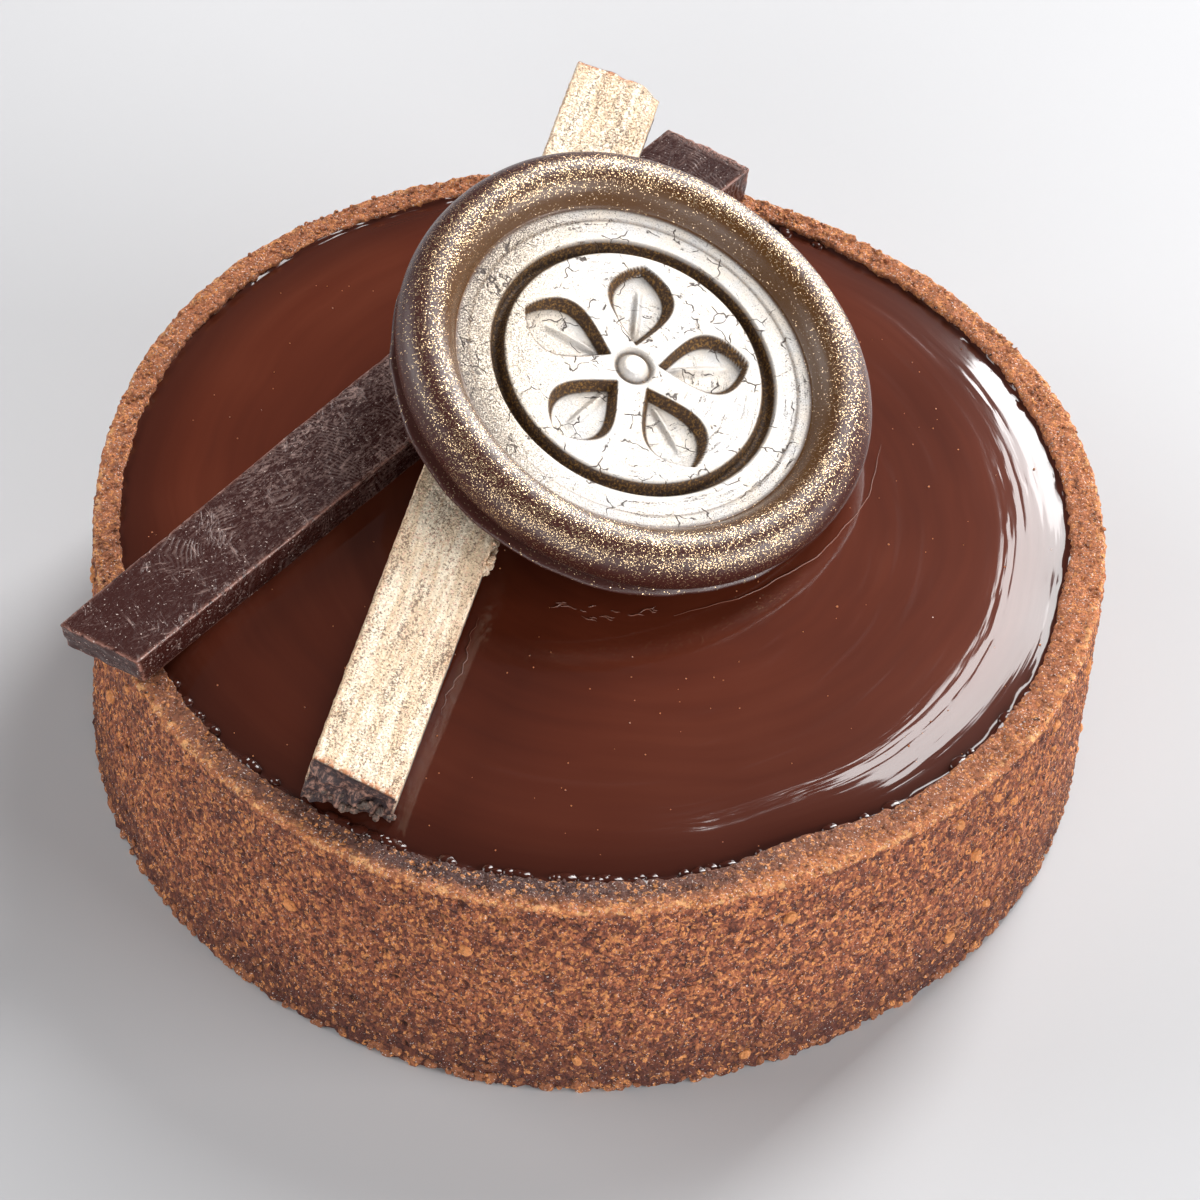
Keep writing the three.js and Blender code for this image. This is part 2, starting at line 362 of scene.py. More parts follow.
@dataclass(frozen=True)
class MirrorGlaze:
    """Mirror-glossy dark glaze with faint swirls, with painted shade near the crust and towards the front.
    """

    name: str = "mirror_glaze"
    edge: Colour = (0.030, 0.0065, 0.0038)
    deep: Colour = (0.080, 0.0150, 0.0064)
    body: Colour = (0.104, 0.0205, 0.0088)
    pale: Colour = (0.128, 0.0285, 0.0130)
    swirl_centre: Point = (3.0, 1.5)

    def material(self) -> bpy.types.Material:
        """Builds the material, which reads the attribute inset."""
        recipe = Recipe(self.name)
        at = recipe.place()
        inset = recipe.own("inset")
        x, y = self.swirl_centre
        from_centre = recipe.stretched(recipe.shifted(at, (-x, -y, 0.0)), (1.0, 1.0, 0.0))
        radius = recipe.length(from_centre)
        around = recipe.node("ShaderNodeVectorMath", {"operation": "NORMALIZE"}, {0: from_centre})
        wander = recipe.noise(at, 14.0, 2.0) * 3.0
        spun = recipe.scaled(around, 1.1)
        streak_at = recipe.shifted(spun, recipe.vector(0.0, 0.0, (radius + wander) * 0.62))
        streak = recipe.noise(streak_at, 1.0, 3.0, 0.6)
        cloud = recipe.noise(at, 18.0, 2.0)
        tone = streak * 0.36 + cloud * 0.64
        colour = recipe.ramp(tone, ((0.33, self.deep), (0.5, self.body), (0.66, self.pale)))
        front_shade = recipe.part(at, "Y").over(-2.0, -34.0)
        # Painted shade: darker within a few millimetres of the crust, and towards the front.
        colour = recipe.blend(inset.over(5.2, 0.4) * 0.62, colour, self.edge)
        colour = recipe.blend(front_shade * 0.5, colour, self.edge)
        ripple = recipe.noise(at, 5.0, 1.0)
        normal = recipe.bump(ripple * 0.6 + streak * 0.4, 0.035)
        shoulder = inset.over(1.0, 2.4) * inset.over(6.2, 4.2)
        wave_at = (inset + recipe.noise(at, 6.0, 2.0) * 1.3) * 7.4
        wave = recipe.node("ShaderNodeMath", {"operation": "SINE"}, {0: wave_at})
        normal = recipe.bump(wave * shoulder * 0.5 + 0.5, 0.008, normal)
        line_at = recipe.shifted(recipe.scaled(around, 2.4), recipe.vector(0.0, 0.0, inset * 1.7))
        lines = recipe.noise(line_at, 1.0, 2.0, 0.55)
        normal = recipe.bump(lines * inset.over(8.0, 5.0), 0.024, normal)
        return recipe.finish(
            Base_Color=colour,
            Roughness=0.06 + lines.over(0.5, 0.75) * 0.08,
            IOR=1.48,
            Coat_Weight=0.045 + recipe.part(at, "X").over(0.0, 30.0) * 0.065,
            Coat_Roughness=0.42,
            Normal=normal,
        )


@dataclass(frozen=True)
class SnappedChocolate:
    """Dark tempered chocolate: satin, scuffed, with finger marks, pale broken edges and a pale film, part
    bloom, part painted sheen.
    """

    name: str = "dark_chocolate"
    body: Colour = (0.037, 0.0090, 0.0070)
    # Pale bloom colour for scuffs and finger marks, and for the film that also paints a sheen.
    bloom_and_sheen: Colour = (0.450, 0.295, 0.255)
    broken: Colour = (0.440, 0.215, 0.165)
    speck: Colour = (0.750, 0.620, 0.560)
    print_pitch: float = 0.34
    wave_scale: float = 0.314

    def material(self) -> bpy.types.Material:
        """Builds the material, which reads the vector stick and the attributes edge and torn."""
        recipe = Recipe(self.name)
        at = recipe.own("stick", "Vector")
        along = recipe.part(at, "X")
        rubbed = recipe.noise(at, 4.0, 3.0, 0.6) + along.over(8.0, 30.0) * 0.07
        scuff = self._scratches(recipe, at, 0.5, 0.50) * rubbed.over(0.42, 0.60)
        scuff = scuff + self._scratches(recipe, at, -0.75, 0.42) * rubbed.over(0.50, 0.62) * 0.8
        scuff = scuff + self._scratches(recipe, at, 1.9, 0.60) * rubbed.over(0.40, 0.56) * 0.8
        clean = along.over(46.0, 60.0) * 0.85
        scuff = scuff * (1 - clean)
        lengthwise = recipe.noise(recipe.stretched(at, (0.05, 1.0, 1.0)), 0.30, 3.0, 0.7)
        combed = lengthwise.over(0.55, 0.72) * along.over(20.0, 38.0)
        centre = recipe.warped(recipe.shifted(at, (-16.0, 5.0, 0.0)), 6.0, 4.5)
        rings = recipe.node(
            "ShaderNodeTexWave",
            {"wave_type": "RINGS", "rings_direction": "Z"},
            {
                "Vector": centre,
                "Scale": self.wave_scale / self.print_pitch,
                "Distortion": 1.6,
                "Detail": 2.0,
            },
        )
        print_patch = recipe.noise(at, 3.0, 1.0).over(0.50, 0.62) * recipe.noise(at, 0.8, 3.0, 0.7)
        finger = rings.over(0.45, 0.95) * print_patch * along.over(7.0, 12.0)
        # Pale film: partly the chocolate's own bloom, partly a painted sheen, strongest on the top face.
        on_top = recipe.part(at, "Z").over(2.1, 2.6)
        dusty = recipe.noise(recipe.stretched(at, (0.45, 1.0, 1.0)), 0.26, 4.0, 0.85).over(0.49, 0.62)
        film_and_sheen = dusty * (0.35 + rubbed.over(0.40, 0.64) * 0.65) * (0.10 + along.over(7.0, 26.0) * 0.9)
        film_and_sheen = film_and_sheen * (0.42 + on_top * 0.58) * (1 - clean)
        speck = recipe.noise(recipe.shifted(at, (5.0, 2.0, 8.0)), 0.21, 2.0, 0.6).over(0.665, 0.70)
        colour = recipe.blend(film_and_sheen * 0.70, self.body, self.bloom_and_sheen)
        colour = recipe.blend(scuff * 0.62, colour, self.bloom_and_sheen)
        colour = recipe.blend(combed * 0.35, colour, self.bloom_and_sheen)
        colour = recipe.blend(finger * 0.30, colour, self.bloom_and_sheen)
        edge = recipe.own("edge") * recipe.noise(at, 0.5, 3.0, 0.7).over(0.36, 0.55)
        colour = recipe.blend(edge * 0.75, colour, self.broken)
        colour = recipe.blend(speck * 0.85, colour, self.speck)
        torn = recipe.own("torn")
        grit = recipe.noise(at, 0.30, 4.0, 0.75)
        colour = recipe.blend(torn * grit.over(0.40, 0.58) * 0.95, colour, self.broken)
        normal = recipe.bump(scuff * 0.4 + finger * 0.4 + recipe.noise(at, 0.8, 4.0, 0.6), 0.05)
        normal = recipe.bump(grit * torn, 0.25, normal)
        return recipe.finish(
            Base_Color=colour,
            Roughness=0.27 + (scuff + finger + film_and_sheen) * 0.14 + torn * 0.25,
            Normal=normal,
            IOR=1.46,
        )

    @staticmethod
    def _scratches(recipe: Recipe, at: Wire, turn: float, width: float) -> Wire:
        """Short scratches that all run one way.

        Args:
            recipe: the recipe.
            at: position on the stick.
            turn: their direction in radians.
            width: width of the gaps between them in millimetres.

        Returns:
            Their strength from 0 to 1.
        """
        inputs = {"Vector": at, "Angle": turn}
        turned = recipe.node("ShaderNodeVectorRotate", {"rotation_type": "Z_AXIS"}, inputs)
        drawn = recipe.noise(recipe.stretched(turned, (0.16, 1.0, 1.0)), width, 4.0, 0.8)
        return drawn.over(0.58, 0.70)


@dataclass(frozen=True)
class GoldDust:
    """Pale gold powder brushed over chocolate, with fine dark flecks where it is bare."""

    name: str = "gold_dusted_chocolate"
    powder: Colour = (0.720, 0.550, 0.370)
    pale: Colour = (0.860, 0.740, 0.570)
    blush: Colour = (0.700, 0.400, 0.300)
    fleck: Colour = (0.130, 0.072, 0.046)
    bare: Colour = (0.034, 0.018, 0.020)
    broken: Colour = (0.360, 0.190, 0.140)
    rust: Colour = (0.480, 0.140, 0.030)
    warm: Colour = (0.750, 0.420, 0.200)

    def material(self) -> bpy.types.Material:
        """Builds the material, which reads the vector stick and the attributes bare and torn."""
        recipe = Recipe(self.name)
        at = recipe.own("stick", "Vector")
        streak = recipe.noise(recipe.stretched(at, (0.12, 1.0, 1.0)), 0.9, 3.0, 0.6)
        colour = recipe.blend(streak.over(0.4, 0.62), self.powder, self.pale)
        colour = recipe.blend(recipe.chance(at, 0.16, "Blue").over(0.80, 0.84) * 0.5, colour, self.blush)
        fine = recipe.noise(at, 0.17, 3.0, 0.85)
        clump = recipe.noise(recipe.stretched(at, (0.30, 1.0, 1.0)), 1.1, 3.0, 0.7)
        level = 0.565 - clump.over(0.42, 0.72) * 0.10 + (streak - 0.5) * 0.07
        fleck = (fine - level).over(0.0, 0.04)
        colour = recipe.blend(fleck * 0.85, colour, self.fleck)
        warm = recipe.noise(at, 0.5, 3.0, 0.7).over(0.58, 0.7)
        colour = recipe.blend(warm * 0.34, colour, self.warm)
        bare = recipe.own("bare")
        torn = recipe.own("torn")
        patch = recipe.noise(at, 0.45, 4.0, 0.7)
        rust = recipe.own("rust") * patch.over(0.42, 0.56)
        colour = recipe.blend(rust * 0.85, colour, self.rust)
        broken = recipe.blend(patch.over(0.45, 0.65), self.bare, self.broken)
        raw = recipe.blend(torn, self.bare, broken)
        colour = recipe.blend(bare, colour, raw)
        normal = recipe.bump(fine, 0.04)
        normal = recipe.bump(patch * torn, 0.3, normal)
        powdery = 1 - bare
        normal = recipe.glitter(at, 0.13, powdery * 0.6, normal)
        return recipe.finish(
            Base_Color=colour,
            Roughness=0.50 + fleck * 0.2,
            Metallic=powdery * (1 - fleck) * 0.25,
            Normal=normal,
        )


@dataclass(frozen=True)
class BronzedSeal:
    """Glossy dark chocolate brushed with gold: bright on the face, partly painted reflection, sparse on
    the rim; recess walls painted in shade.
    """

    name: str = "bronze_dusted_chocolate"
    body: Colour = (0.050, 0.0145, 0.0110)
    amber: Colour = (0.090, 0.038, 0.008)
    wall: Colour = (0.040, 0.016, 0.004)
    glint: Colour = (0.300, 0.150, 0.030)
    gold: Colour = (0.840, 0.610, 0.370)
    silver_sheen: Colour = (0.590, 0.572, 0.556)
    champagne: Colour = (0.780, 0.650, 0.500)
    fleck: Colour = (0.050, 0.030, 0.022)

    def material(self) -> bpy.types.Material:
        """Builds the material, which reads the vector seal and the attributes face and wall."""
        recipe = Recipe(self.name)
        at = recipe.own("seal", "Vector")
        face = recipe.own("face")
        wall = recipe.own("wall")
        flat = recipe.stretched(at, (1.0, 1.0, 0.0))
        radius = recipe.length(flat)
        slope = radius.over(16.4, 14.8) * (1 - face)
        chance = recipe.chance(at, 0.10)
        dot = recipe.cells(at, 0.10).over(0.56, 0.38)
        fine = recipe.noise(at, 0.12, 3.0, 0.8)
        drift = recipe.noise(at, 2.2, 4.0, 0.65)
        ahead = recipe.part(at, "Y").over(-6.0, -15.0)
        crest = radius.over(14.4, 15.8) * (radius - ahead * 0.8).over(18.3, 16.9)
        crest = crest * recipe.part(at, "Z").over(1.0, 2.2)
        behind = recipe.part(at, "Y").over(-4.0, 10.0) * 0.26
        cover = crest * (drift.over(0.36, 0.66) * 0.46 + behind + ahead * 0.12 + 0.15) + 0.07
        flake = (cover - chance).over(-0.02, 0.04) * dot
        dusty = recipe.part(at, "X").over(-3.0, -12.0)
        outer = radius.over(10.8, 13.4)
        ground = recipe.blend(slope * 0.8, self.body, self.amber)
        rim_colour = recipe.blend(flake * 0.9, ground, self.gold)
        # Face colour: pale gold dust and a painted reflection of the light the face mirrors, silvery where
        # the dust is thin.
        dust_and_sheen = recipe.blend(drift.over(0.3, 0.7) * 0.5, self.silver_sheen, self.champagne)
        dust_and_sheen = recipe.blend(dusty * 0.8, dust_and_sheen, self.champagne)
        fleck = (fine - 0.635 + dusty * 0.12 + outer * 0.07).over(0.0, 0.05)
        around = recipe.node("ShaderNodeVectorMath", {"operation": "NORMALIZE"}, {0: flat})
        arc_at = recipe.shifted(recipe.scaled(around, 3.0), recipe.vector(0.0, 0.0, radius * 2.4))
        arcs = recipe.noise(arc_at, 1.0, 4.0, 0.8).over(0.56, 0.62) * fine.over(0.44, 0.52)
        arcs = arcs * recipe.noise(at, 4.0, 1.0).over(0.46, 0.58)
        moved = recipe.warped(recipe.shifted(at, (3.1, 1.7, 0.0)), 1.4, 1.8)
        cracked = 1 - recipe.cells(moved, 2.6, "Distance", True).over(0.004, 0.026)
        cracked = cracked * recipe.noise(at, 1.8, 3.0, 0.6).over(0.48, 0.56)
        marks = (fleck * 0.85 + cracked * 0.85 + arcs * 0.75).over(0.0, 1.0)
        colour = recipe.blend(face, rim_colour, recipe.blend(marks, dust_and_sheen, self.fleck))
        # Painted shade on the groove, petal, collar and step walls, flecked with painted golden glints.
        lined = recipe.noise(at, 0.22, 3.0, 0.75).over(0.48, 0.66)
        colour = recipe.blend(wall, colour, recipe.blend(lined * 0.7, self.wall, self.glint))
        dusted = face * (1 - marks)
        metal = flake * (1 - face) + dusted * 0.30
        normal = recipe.bump(fine, 0.025)
        normal = recipe.bump(1 - (cracked + arcs * 0.4) * face, 0.06, normal)
        spread = flake * (1 - face) * 0.55 + dusted * (0.25 + dusty * 0.5) + (1 - face) * 0.06
        return recipe.finish(
            Base_Color=colour,
            Roughness=0.27 + face * 0.19 + wall * 0.25,
            Metallic=metal * (1 - wall),
            Normal=recipe.glitter(at, 0.085, spread, normal),
            IOR=1.48,
        )


@dataclass(frozen=True)
class PlainStudio:
    """Matt pale paint of the studio floor."""

    name: str = "pale_floor"
    tint: Colour = (0.53, 0.53, 0.542)

    def material(self) -> bpy.types.Material:
        """Builds the material."""
        recipe = Recipe(self.name)
        cloud = recipe.noise(recipe.place(), 180.0, 2.0)
        shade = tuple(0.94 * part for part in self.tint)
        colour = recipe.blend(cloud.over(0.3, 0.7), self.tint, shade)
        return recipe.finish(Base_Color=colour, Roughness=0.55, Specular_IOR_Level=0.3)


Finish = Union[BakedCrust, MirrorGlaze, SnappedChocolate, GoldDust, BronzedSeal]


# ------------------------------------------------------------------- modelling


class Bench:
    """Starts, shapes and finishes meshes with the modelling operators."""

    @staticmethod
    def clear() -> None:
        """Leaves nothing selected."""
        bpy.ops.object.select_all(action="DESELECT")

    @classmethod
    def take(cls, piece: Piece) -> None:
        """Selects one piece alone and makes it the active one."""
        cls.clear()
        piece.select_set(True)
        bpy.context.view_layer.objects.active = piece

    @classmethod
    def turned(cls, name: str, profile: Sequence[Point], turns: int, cuts: int) -> Piece:
        """Turns a profile about the Z axis into a closed body.

        Args:
            name: name of the piece.
            profile: radius and height of each point in metres, from axis to axis.
            turns: number of steps of the turning.
            cuts: number of cuts that then divide each step.

        Returns:
            The piece.
        """
        cls.clear()
        bpy.ops.mesh.primitive_plane_add(size=MM)
        piece = bpy.context.object
        piece.name = name
        bpy.ops.object.mode_set(mode="EDIT")
        bpy.ops.mesh.select_mode(type="VERT")
        bpy.ops.mesh.select_all(action="SELECT")
        bpy.ops.mesh.merge(type="CENTER")
        radius, height = profile[0]
        bpy.ops.transform.translate(value=(radius, 0.0, height))
        for (r0, z0), (r1, z1) in zip(profile, profile[1:]):
            step = {"value": (r1 - r0, 0.0, z1 - z0)}
            bpy.ops.mesh.extrude_region_move(TRANSFORM_OT_translate=step)
        bpy.ops.mesh.select_all(action="SELECT")
        bpy.ops.mesh.spin(steps=turns, angle=math.tau, center=(0, 0, 0), axis=(0, 0, 1))
        cls._close(2e-6)
        bpy.ops.mesh.select_mode(type="EDGE")
        bpy.ops.mesh.select_all(action="DESELECT")
        mesh = bmesh.from_edit_mesh(piece.data)
        for edge in mesh.edges:
            start, end = (vertex.co for vertex in edge.verts)
            level = abs(start.z - end.z) < 1e-7
            edge.select_set(level and abs(start.xy.length - end.xy.length) < 1e-7)
        bmesh.update_edit_mesh(piece.data)
        bpy.ops.mesh.subdivide(number_cuts=cuts)
        bpy.ops.object.mode_set(mode="OBJECT")
        cls._round_out(piece, turns)
        return piece

    @classmethod
    def _round_out(cls, piece: Piece, turns: int) -> None:
        """Pushes the cuts of a turned body out from its chords on to its circles."""
        points = cls.points(piece)
        pitch = math.tau / turns
        angle = np.arctan2(points[:, 1], points[:, 0])
        off = angle % pitch - pitch / 2
        points[:, :2] *= (np.cos(off) / math.cos(pitch / 2))[:, None]
        cls.move(piece, points)

    @staticmethod
    def _close(gap: float) -> None:
        """Merges doubles and turns all faces outwards, in edit mode."""
        bpy.ops.mesh.select_all(action="SELECT")
        bpy.ops.mesh.remove_doubles(threshold=gap)
        bpy.ops.mesh.select_all(action="SELECT")
        bpy.ops.mesh.normals_make_consistent(inside=False)

    @classmethod
    def block(cls, name: str, corners: np.ndarray) -> Piece:
        """A six-sided block with given corners.

        Args:
            name: name of the piece.
            corners: positions [2, 2, 2, 3], by near or far, low or high side, bottom or top.

        Returns:
            The piece.
        """
        cls.clear()
        bpy.ops.mesh.primitive_cube_add(size=1.0)
        piece = bpy.context.object
        piece.name = name
        for vertex in piece.data.vertices:
            near, side, top = (int(part > 0) for part in vertex.co)
            vertex.co = corners[near, side, top]
        return piece

    @classmethod
    def dice(cls, piece: Piece, axes: Sequence[np.ndarray], cuts: Sequence[int]) -> None:
        """Cuts a block's faces into a grid.

        Args:
            piece: the block.
            axes: its three directions.
            cuts: number of cuts across each direction.
        """
        cls.take(piece)
        bpy.ops.object.mode_set(mode="EDIT")
        bpy.ops.mesh.select_mode(type="EDGE")
        for axis, count in enumerate(cuts):
            bpy.ops.mesh.select_all(action="DESELECT")
            mesh = bmesh.from_edit_mesh(piece.data)
            for edge in mesh.edges:
                run = np.array(edge.verts[1].co - edge.verts[0].co)
                lie = [abs(float(run @ direction)) for direction in axes]
                edge.select_set(lie[axis] == max(lie))
            bmesh.update_edit_mesh(piece.data)
            bpy.ops.mesh.subdivide(number_cuts=count)
        bpy.ops.object.mode_set(mode="OBJECT")

    @classmethod
    def round_edges(cls, piece: Piece, width: float, segments: int) -> None:
        """Bevels the sharp edges of a piece."""
        cls.take(piece)
        bpy.ops.object.mode_set(mode="EDIT")
        bpy.ops.mesh.select_mode(type="EDGE")
        bpy.ops.mesh.select_all(action="DESELECT")
        bpy.ops.mesh.edges_select_sharp(sharpness=math.radians(50))
        bpy.ops.mesh.bevel(offset=width, segments=segments, affect="EDGES")
        cls._close(1e-6)
        bpy.ops.object.mode_set(mode="OBJECT")
        cls._face_out(piece)

    @staticmethod
    def _face_out(piece: Piece) -> None:
        """Turns a closed piece's faces over if they look inwards."""
        mesh = bmesh.new()
        mesh.from_mesh(piece.data)
        if mesh.calc_volume(signed=True) < 0:
            bmesh.ops.reverse_faces(mesh, faces=mesh.faces)
            mesh.to_mesh(piece.data)
        mesh.free()

    @classmethod
    def relief(cls, piece: Piece, grain: Grain, size: float, depth: float) -> None:
        """Presses a relief into a piece with an applied modifier.

        Args:
            piece: the piece.
            grain: kind of relief.
            size: width of its features in metres.
            depth: height from its lowest to its highest point in metres.
        """
        texture = bpy.data.textures.new(f"{piece.name}_{grain.name.lower()}", grain.value)
        texture.noise_scale = size
        modifier = piece.modifiers.new("relief", "DISPLACE")
        modifier.texture = texture
        modifier.texture_coords = "LOCAL"
        modifier.strength = depth
        modifier.mid_level = 0.5
        cls.take(piece)
        bpy.ops.object.modifier_apply(modifier=modifier.name)

    @classmethod
    def pebble(cls, seed: int, lumpy: float = 0.11) -> tuple[np.ndarray, np.ndarray]:
        """Models one lumpy grain, one unit across, of two dozen faces.

        Args:
            seed: choice among different lumps.
            lumpy: how far its vertices stray.

        Returns:
            Its vertices and its faces.
        """
        cls.clear()
        bpy.ops.mesh.primitive_cube_add(size=0.8)
        piece = bpy.context.object
        bpy.ops.object.mode_set(mode="EDIT")
        bpy.ops.mesh.select_all(action="SELECT")
        bpy.ops.mesh.subdivide(number_cuts=1, smoothness=1.0)
        bpy.ops.transform.vertex_random(offset=lumpy, seed=seed)
        bpy.ops.object.mode_set(mode="OBJECT")
        vertices = cls.points(piece)
        faces = np.array([tuple(face.vertices) for face in piece.data.polygons])
        bpy.data.objects.remove(piece)
        return vertices, faces

    @staticmethod
    def joined(name: str, shapes: Sequence, places: Sequence[Matrix]) -> Piece:
        """Copies lumps to many places as one mesh.

        Args:
            name: name of the piece.
            shapes: vertices and faces of each lump, used in turn.
            places: a matrix for each copy.

        Returns:
            The piece.
        """
        vertices, faces, total = [], [], 0
        for index, place in enumerate(places):
            own, around = shapes[index % len(shapes)]
            matrix = np.array(place)
            vertices.append(own @ matrix[:3, :3].T + matrix[:3, 3])
            faces.append(around + total)
            total += len(own)
        mesh = bpy.data.meshes.new(name)
        mesh.from_pydata(np.concatenate(vertices).tolist(), [], np.concatenate(faces).tolist())
        mesh.validate()
        piece = bpy.data.objects.new(name, mesh)
        bpy.context.scene.collection.objects.link(piece)
        return piece

    @classmethod
    def thread(cls, name: str, runs: Sequence[Sequence[Vector]], radius: float) -> Piece:
        """Lays thin round threads along lines, tapering at both ends.

        Args:
            name: name of the piece.
            runs: the points of each thread in metres.
            radius: radius of a thread at its middle.

        Returns:
            The piece.
        """
        data = bpy.data.curves.new(name, "CURVE")
        data.dimensions = "3D"
        data.bevel_depth = radius
        data.bevel_resolution = 2
        data.use_fill_caps = True
        for run in runs:
            spline = data.splines.new("POLY")
            spline.points.add(len(run) - 1)
            for index, (point, place) in enumerate(zip(spline.points, run)):
                point.co = (*place, 1.0)
                point.radius = 0.25 + 0.75 * math.sin(math.pi * index / (len(run) - 1))
        piece = bpy.data.objects.new(name, data)
        bpy.context.scene.collection.objects.link(piece)
        cls.take(piece)
        bpy.ops.object.convert(target="MESH")
        return bpy.context.object

    @staticmethod
    def points(piece: Piece) -> np.ndarray:
        """Positions of a piece's vertices."""
        flat = np.zeros(len(piece.data.vertices) * 3, np.float32)
        piece.data.vertices.foreach_get("co", flat)
        return flat.reshape(-1, 3).astype(float)

    @staticmethod
    def move(piece: Piece, points: np.ndarray) -> None:
        """Puts a piece's vertices at new positions."""
        piece.data.vertices.foreach_set("co", points.astype(np.float32).ravel())
        piece.data.update()

    @staticmethod
    def mark(piece: Piece, **marks: np.ndarray) -> None:
        """Stores named numbers or vectors for each vertex, for the material."""
        for name, values in marks.items():
            kind, field = ("FLOAT", "value") if values.ndim == 1 else ("FLOAT_VECTOR", "vector")
            layer = piece.data.attributes.new(name, kind, "POINT")
            layer.data.foreach_set(field, values.astype(np.float32).ravel())

    @classmethod
    def smooth(cls, piece: Piece, degrees: float = 60.0) -> None:
        """Shades a piece smooth except at its sharp edges."""
        cls.take(piece)
        bpy.ops.object.shade_smooth_by_angle(angle=math.radians(degrees))


def lumps(points: np.ndarray, size: float, shift: float = 0.0) -> np.ndarray:
    """Smooth noise between about -1 and 1 at each point.

    Args:
        points: positions.
        size: width of its features, in the unit of the positions.
        shift: offset that gives a different pattern.

    Returns:
        One number for each point.
    """
    scaled = points / size + shift
    return np.array([noise.noise(Vector(place)) for place in scaled]) * 1.6


def smoothstep(low: float, high: float, value: np.ndarray) -> np.ndarray:
    """Rises smoothly from 0 at low to 1 at high."""
    run = np.clip((value - low) / (high - low), 0.0, 1.0)
    return run * run * (3 - 2 * run)


def bell(off: np.ndarray, width: float) -> np.ndarray:
    """Bell curve: 1 where off is 0, a third at one width from it."""
    return np.exp(-((off / width) ** 2))


def turn_from(middle: float, angles: np.ndarray) -> np.ndarray:
    """How far each angle lies from a middle one, the short way round."""
    return np.angle(np.exp(1j * (angles - middle)))


def settle(piece: Piece, finish: Finish, slot: Slot, *nodes: str) -> None:
    """Gives a piece its finish and its body, and hides the nodes that it stands for.

    Args:
        piece: the piece.
        finish: what it is made of.
        slot: its material slot; not used.
        nodes: the nodes that it stands for, none if it only adds detail.
    """
    piece.data.materials.clear()
    piece.data.materials.append(finish.material())
    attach(piece, BODY)
    if nodes:
        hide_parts(*nodes)
    LOG.info("%s: %d faces", piece.name, len(piece.data.polygons))


# ------------------------------------------------------------------- measuring


class Outline:
    """A closed wavy outline: a quantity that depends on the angle about an axis."""

    def __init__(self, angles: np.ndarray, values: np.ndarray, waves: int = 7) -> None:
        """Fits waves to measured values.

        Args:
            angles: where they were measured, in radians.
            values: the values there.
            waves: most waves round the circle.
        """
        self.waves = waves
        self.share = np.linalg.lstsq(self._basis(angles), values, rcond=None)[0]

    def _basis(self, angles: np.ndarray) -> np.ndarray:
        """Constant, cosines and sines at the angles."""
        turns = [np.ones_like(angles)]
        for count in range(1, self.waves + 1):
            turns += [np.cos(count * angles), np.sin(count * angles)]
        return np.stack(turns, axis=-1)

    def at(self, angles: np.ndarray) -> np.ndarray:
        """Value at each angle."""
        return self._basis(angles) @ self.share

    def one(self, angle: float) -> float:
        """Value at one angle."""
        return float(self.at(np.array([angle]))[0])


def polar(points: np.ndarray) -> tuple[np.ndarray, np.ndarray]:
    """Distance from the Z axis and angle about it of each point."""
    return np.hypot(points[:, 0], points[:, 1]), np.arctan2(points[:, 1], points[:, 0])


class ShellMeasure:
    """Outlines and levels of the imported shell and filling.

    BULGES lists where the pastry was pressed in: angle and width in degrees, depth
    in millimetres.
    """

    BULGES = ((-61, 9, 1.0), (-6, 7, 0.35), (57, 5, 0.35), (-120, 6, 0.2))

    def __init__(self) -> None:
        """Reads them off the nodes."""
        shell = Bench.points(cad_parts["crust"])
        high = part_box("crust")[1]
        radius, angle = polar(shell)
        self.height = high.z
        middle = np.abs(shell[:, 2] - self.height / 2) < 0.8 * MM
        self.outer = Outline(angle[middle], radius[middle])
        self.floor = float(np.median(shell[(radius < MM) & (shell[:, 2] > MM), 2]))
        base = (np.abs(shell[:, 2] - self.floor) < 0.2 * MM) & (radius > 0.5 * high.x)
        self.bore = Outline(angle[base], radius[base])
        crest = shell[:, 2] > self.height - 0.45 * MM
        self.rim = Outline(angle[crest], shell[crest, 2], 5)
        filling_low, filling_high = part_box("filling")
        self.filling_base = filling_low.z
        self.filling_top = filling_high.z

    def bore_radius(self, angles: np.ndarray) -> np.ndarray:
        """Radius of the inside of the wall, thickened where the pastry was pressed in."""
        radius = self.bore.at(angles)
        for middle, width, depth in self.BULGES:
            off = np.degrees(turn_from(math.radians(middle), angles))
            radius = radius - depth * MM * bell(off, width)
        return radius

    def wetness(self, points: np.ndarray) -> np.ndarray:
        """How far the crust has soaked up glaze at each point: most along the front of the rim."""
        radius, angle = polar(points)
        near = 1 - smoothstep(1.3 * MM, 2.8 * MM, radius - self.bore_radius(angle))
        front = bell(turn_from(-1.75, angle), 0.95)
        return near * (0.12 + 0.88 * front) * (points[:, 2] > 0.7 * self.height)


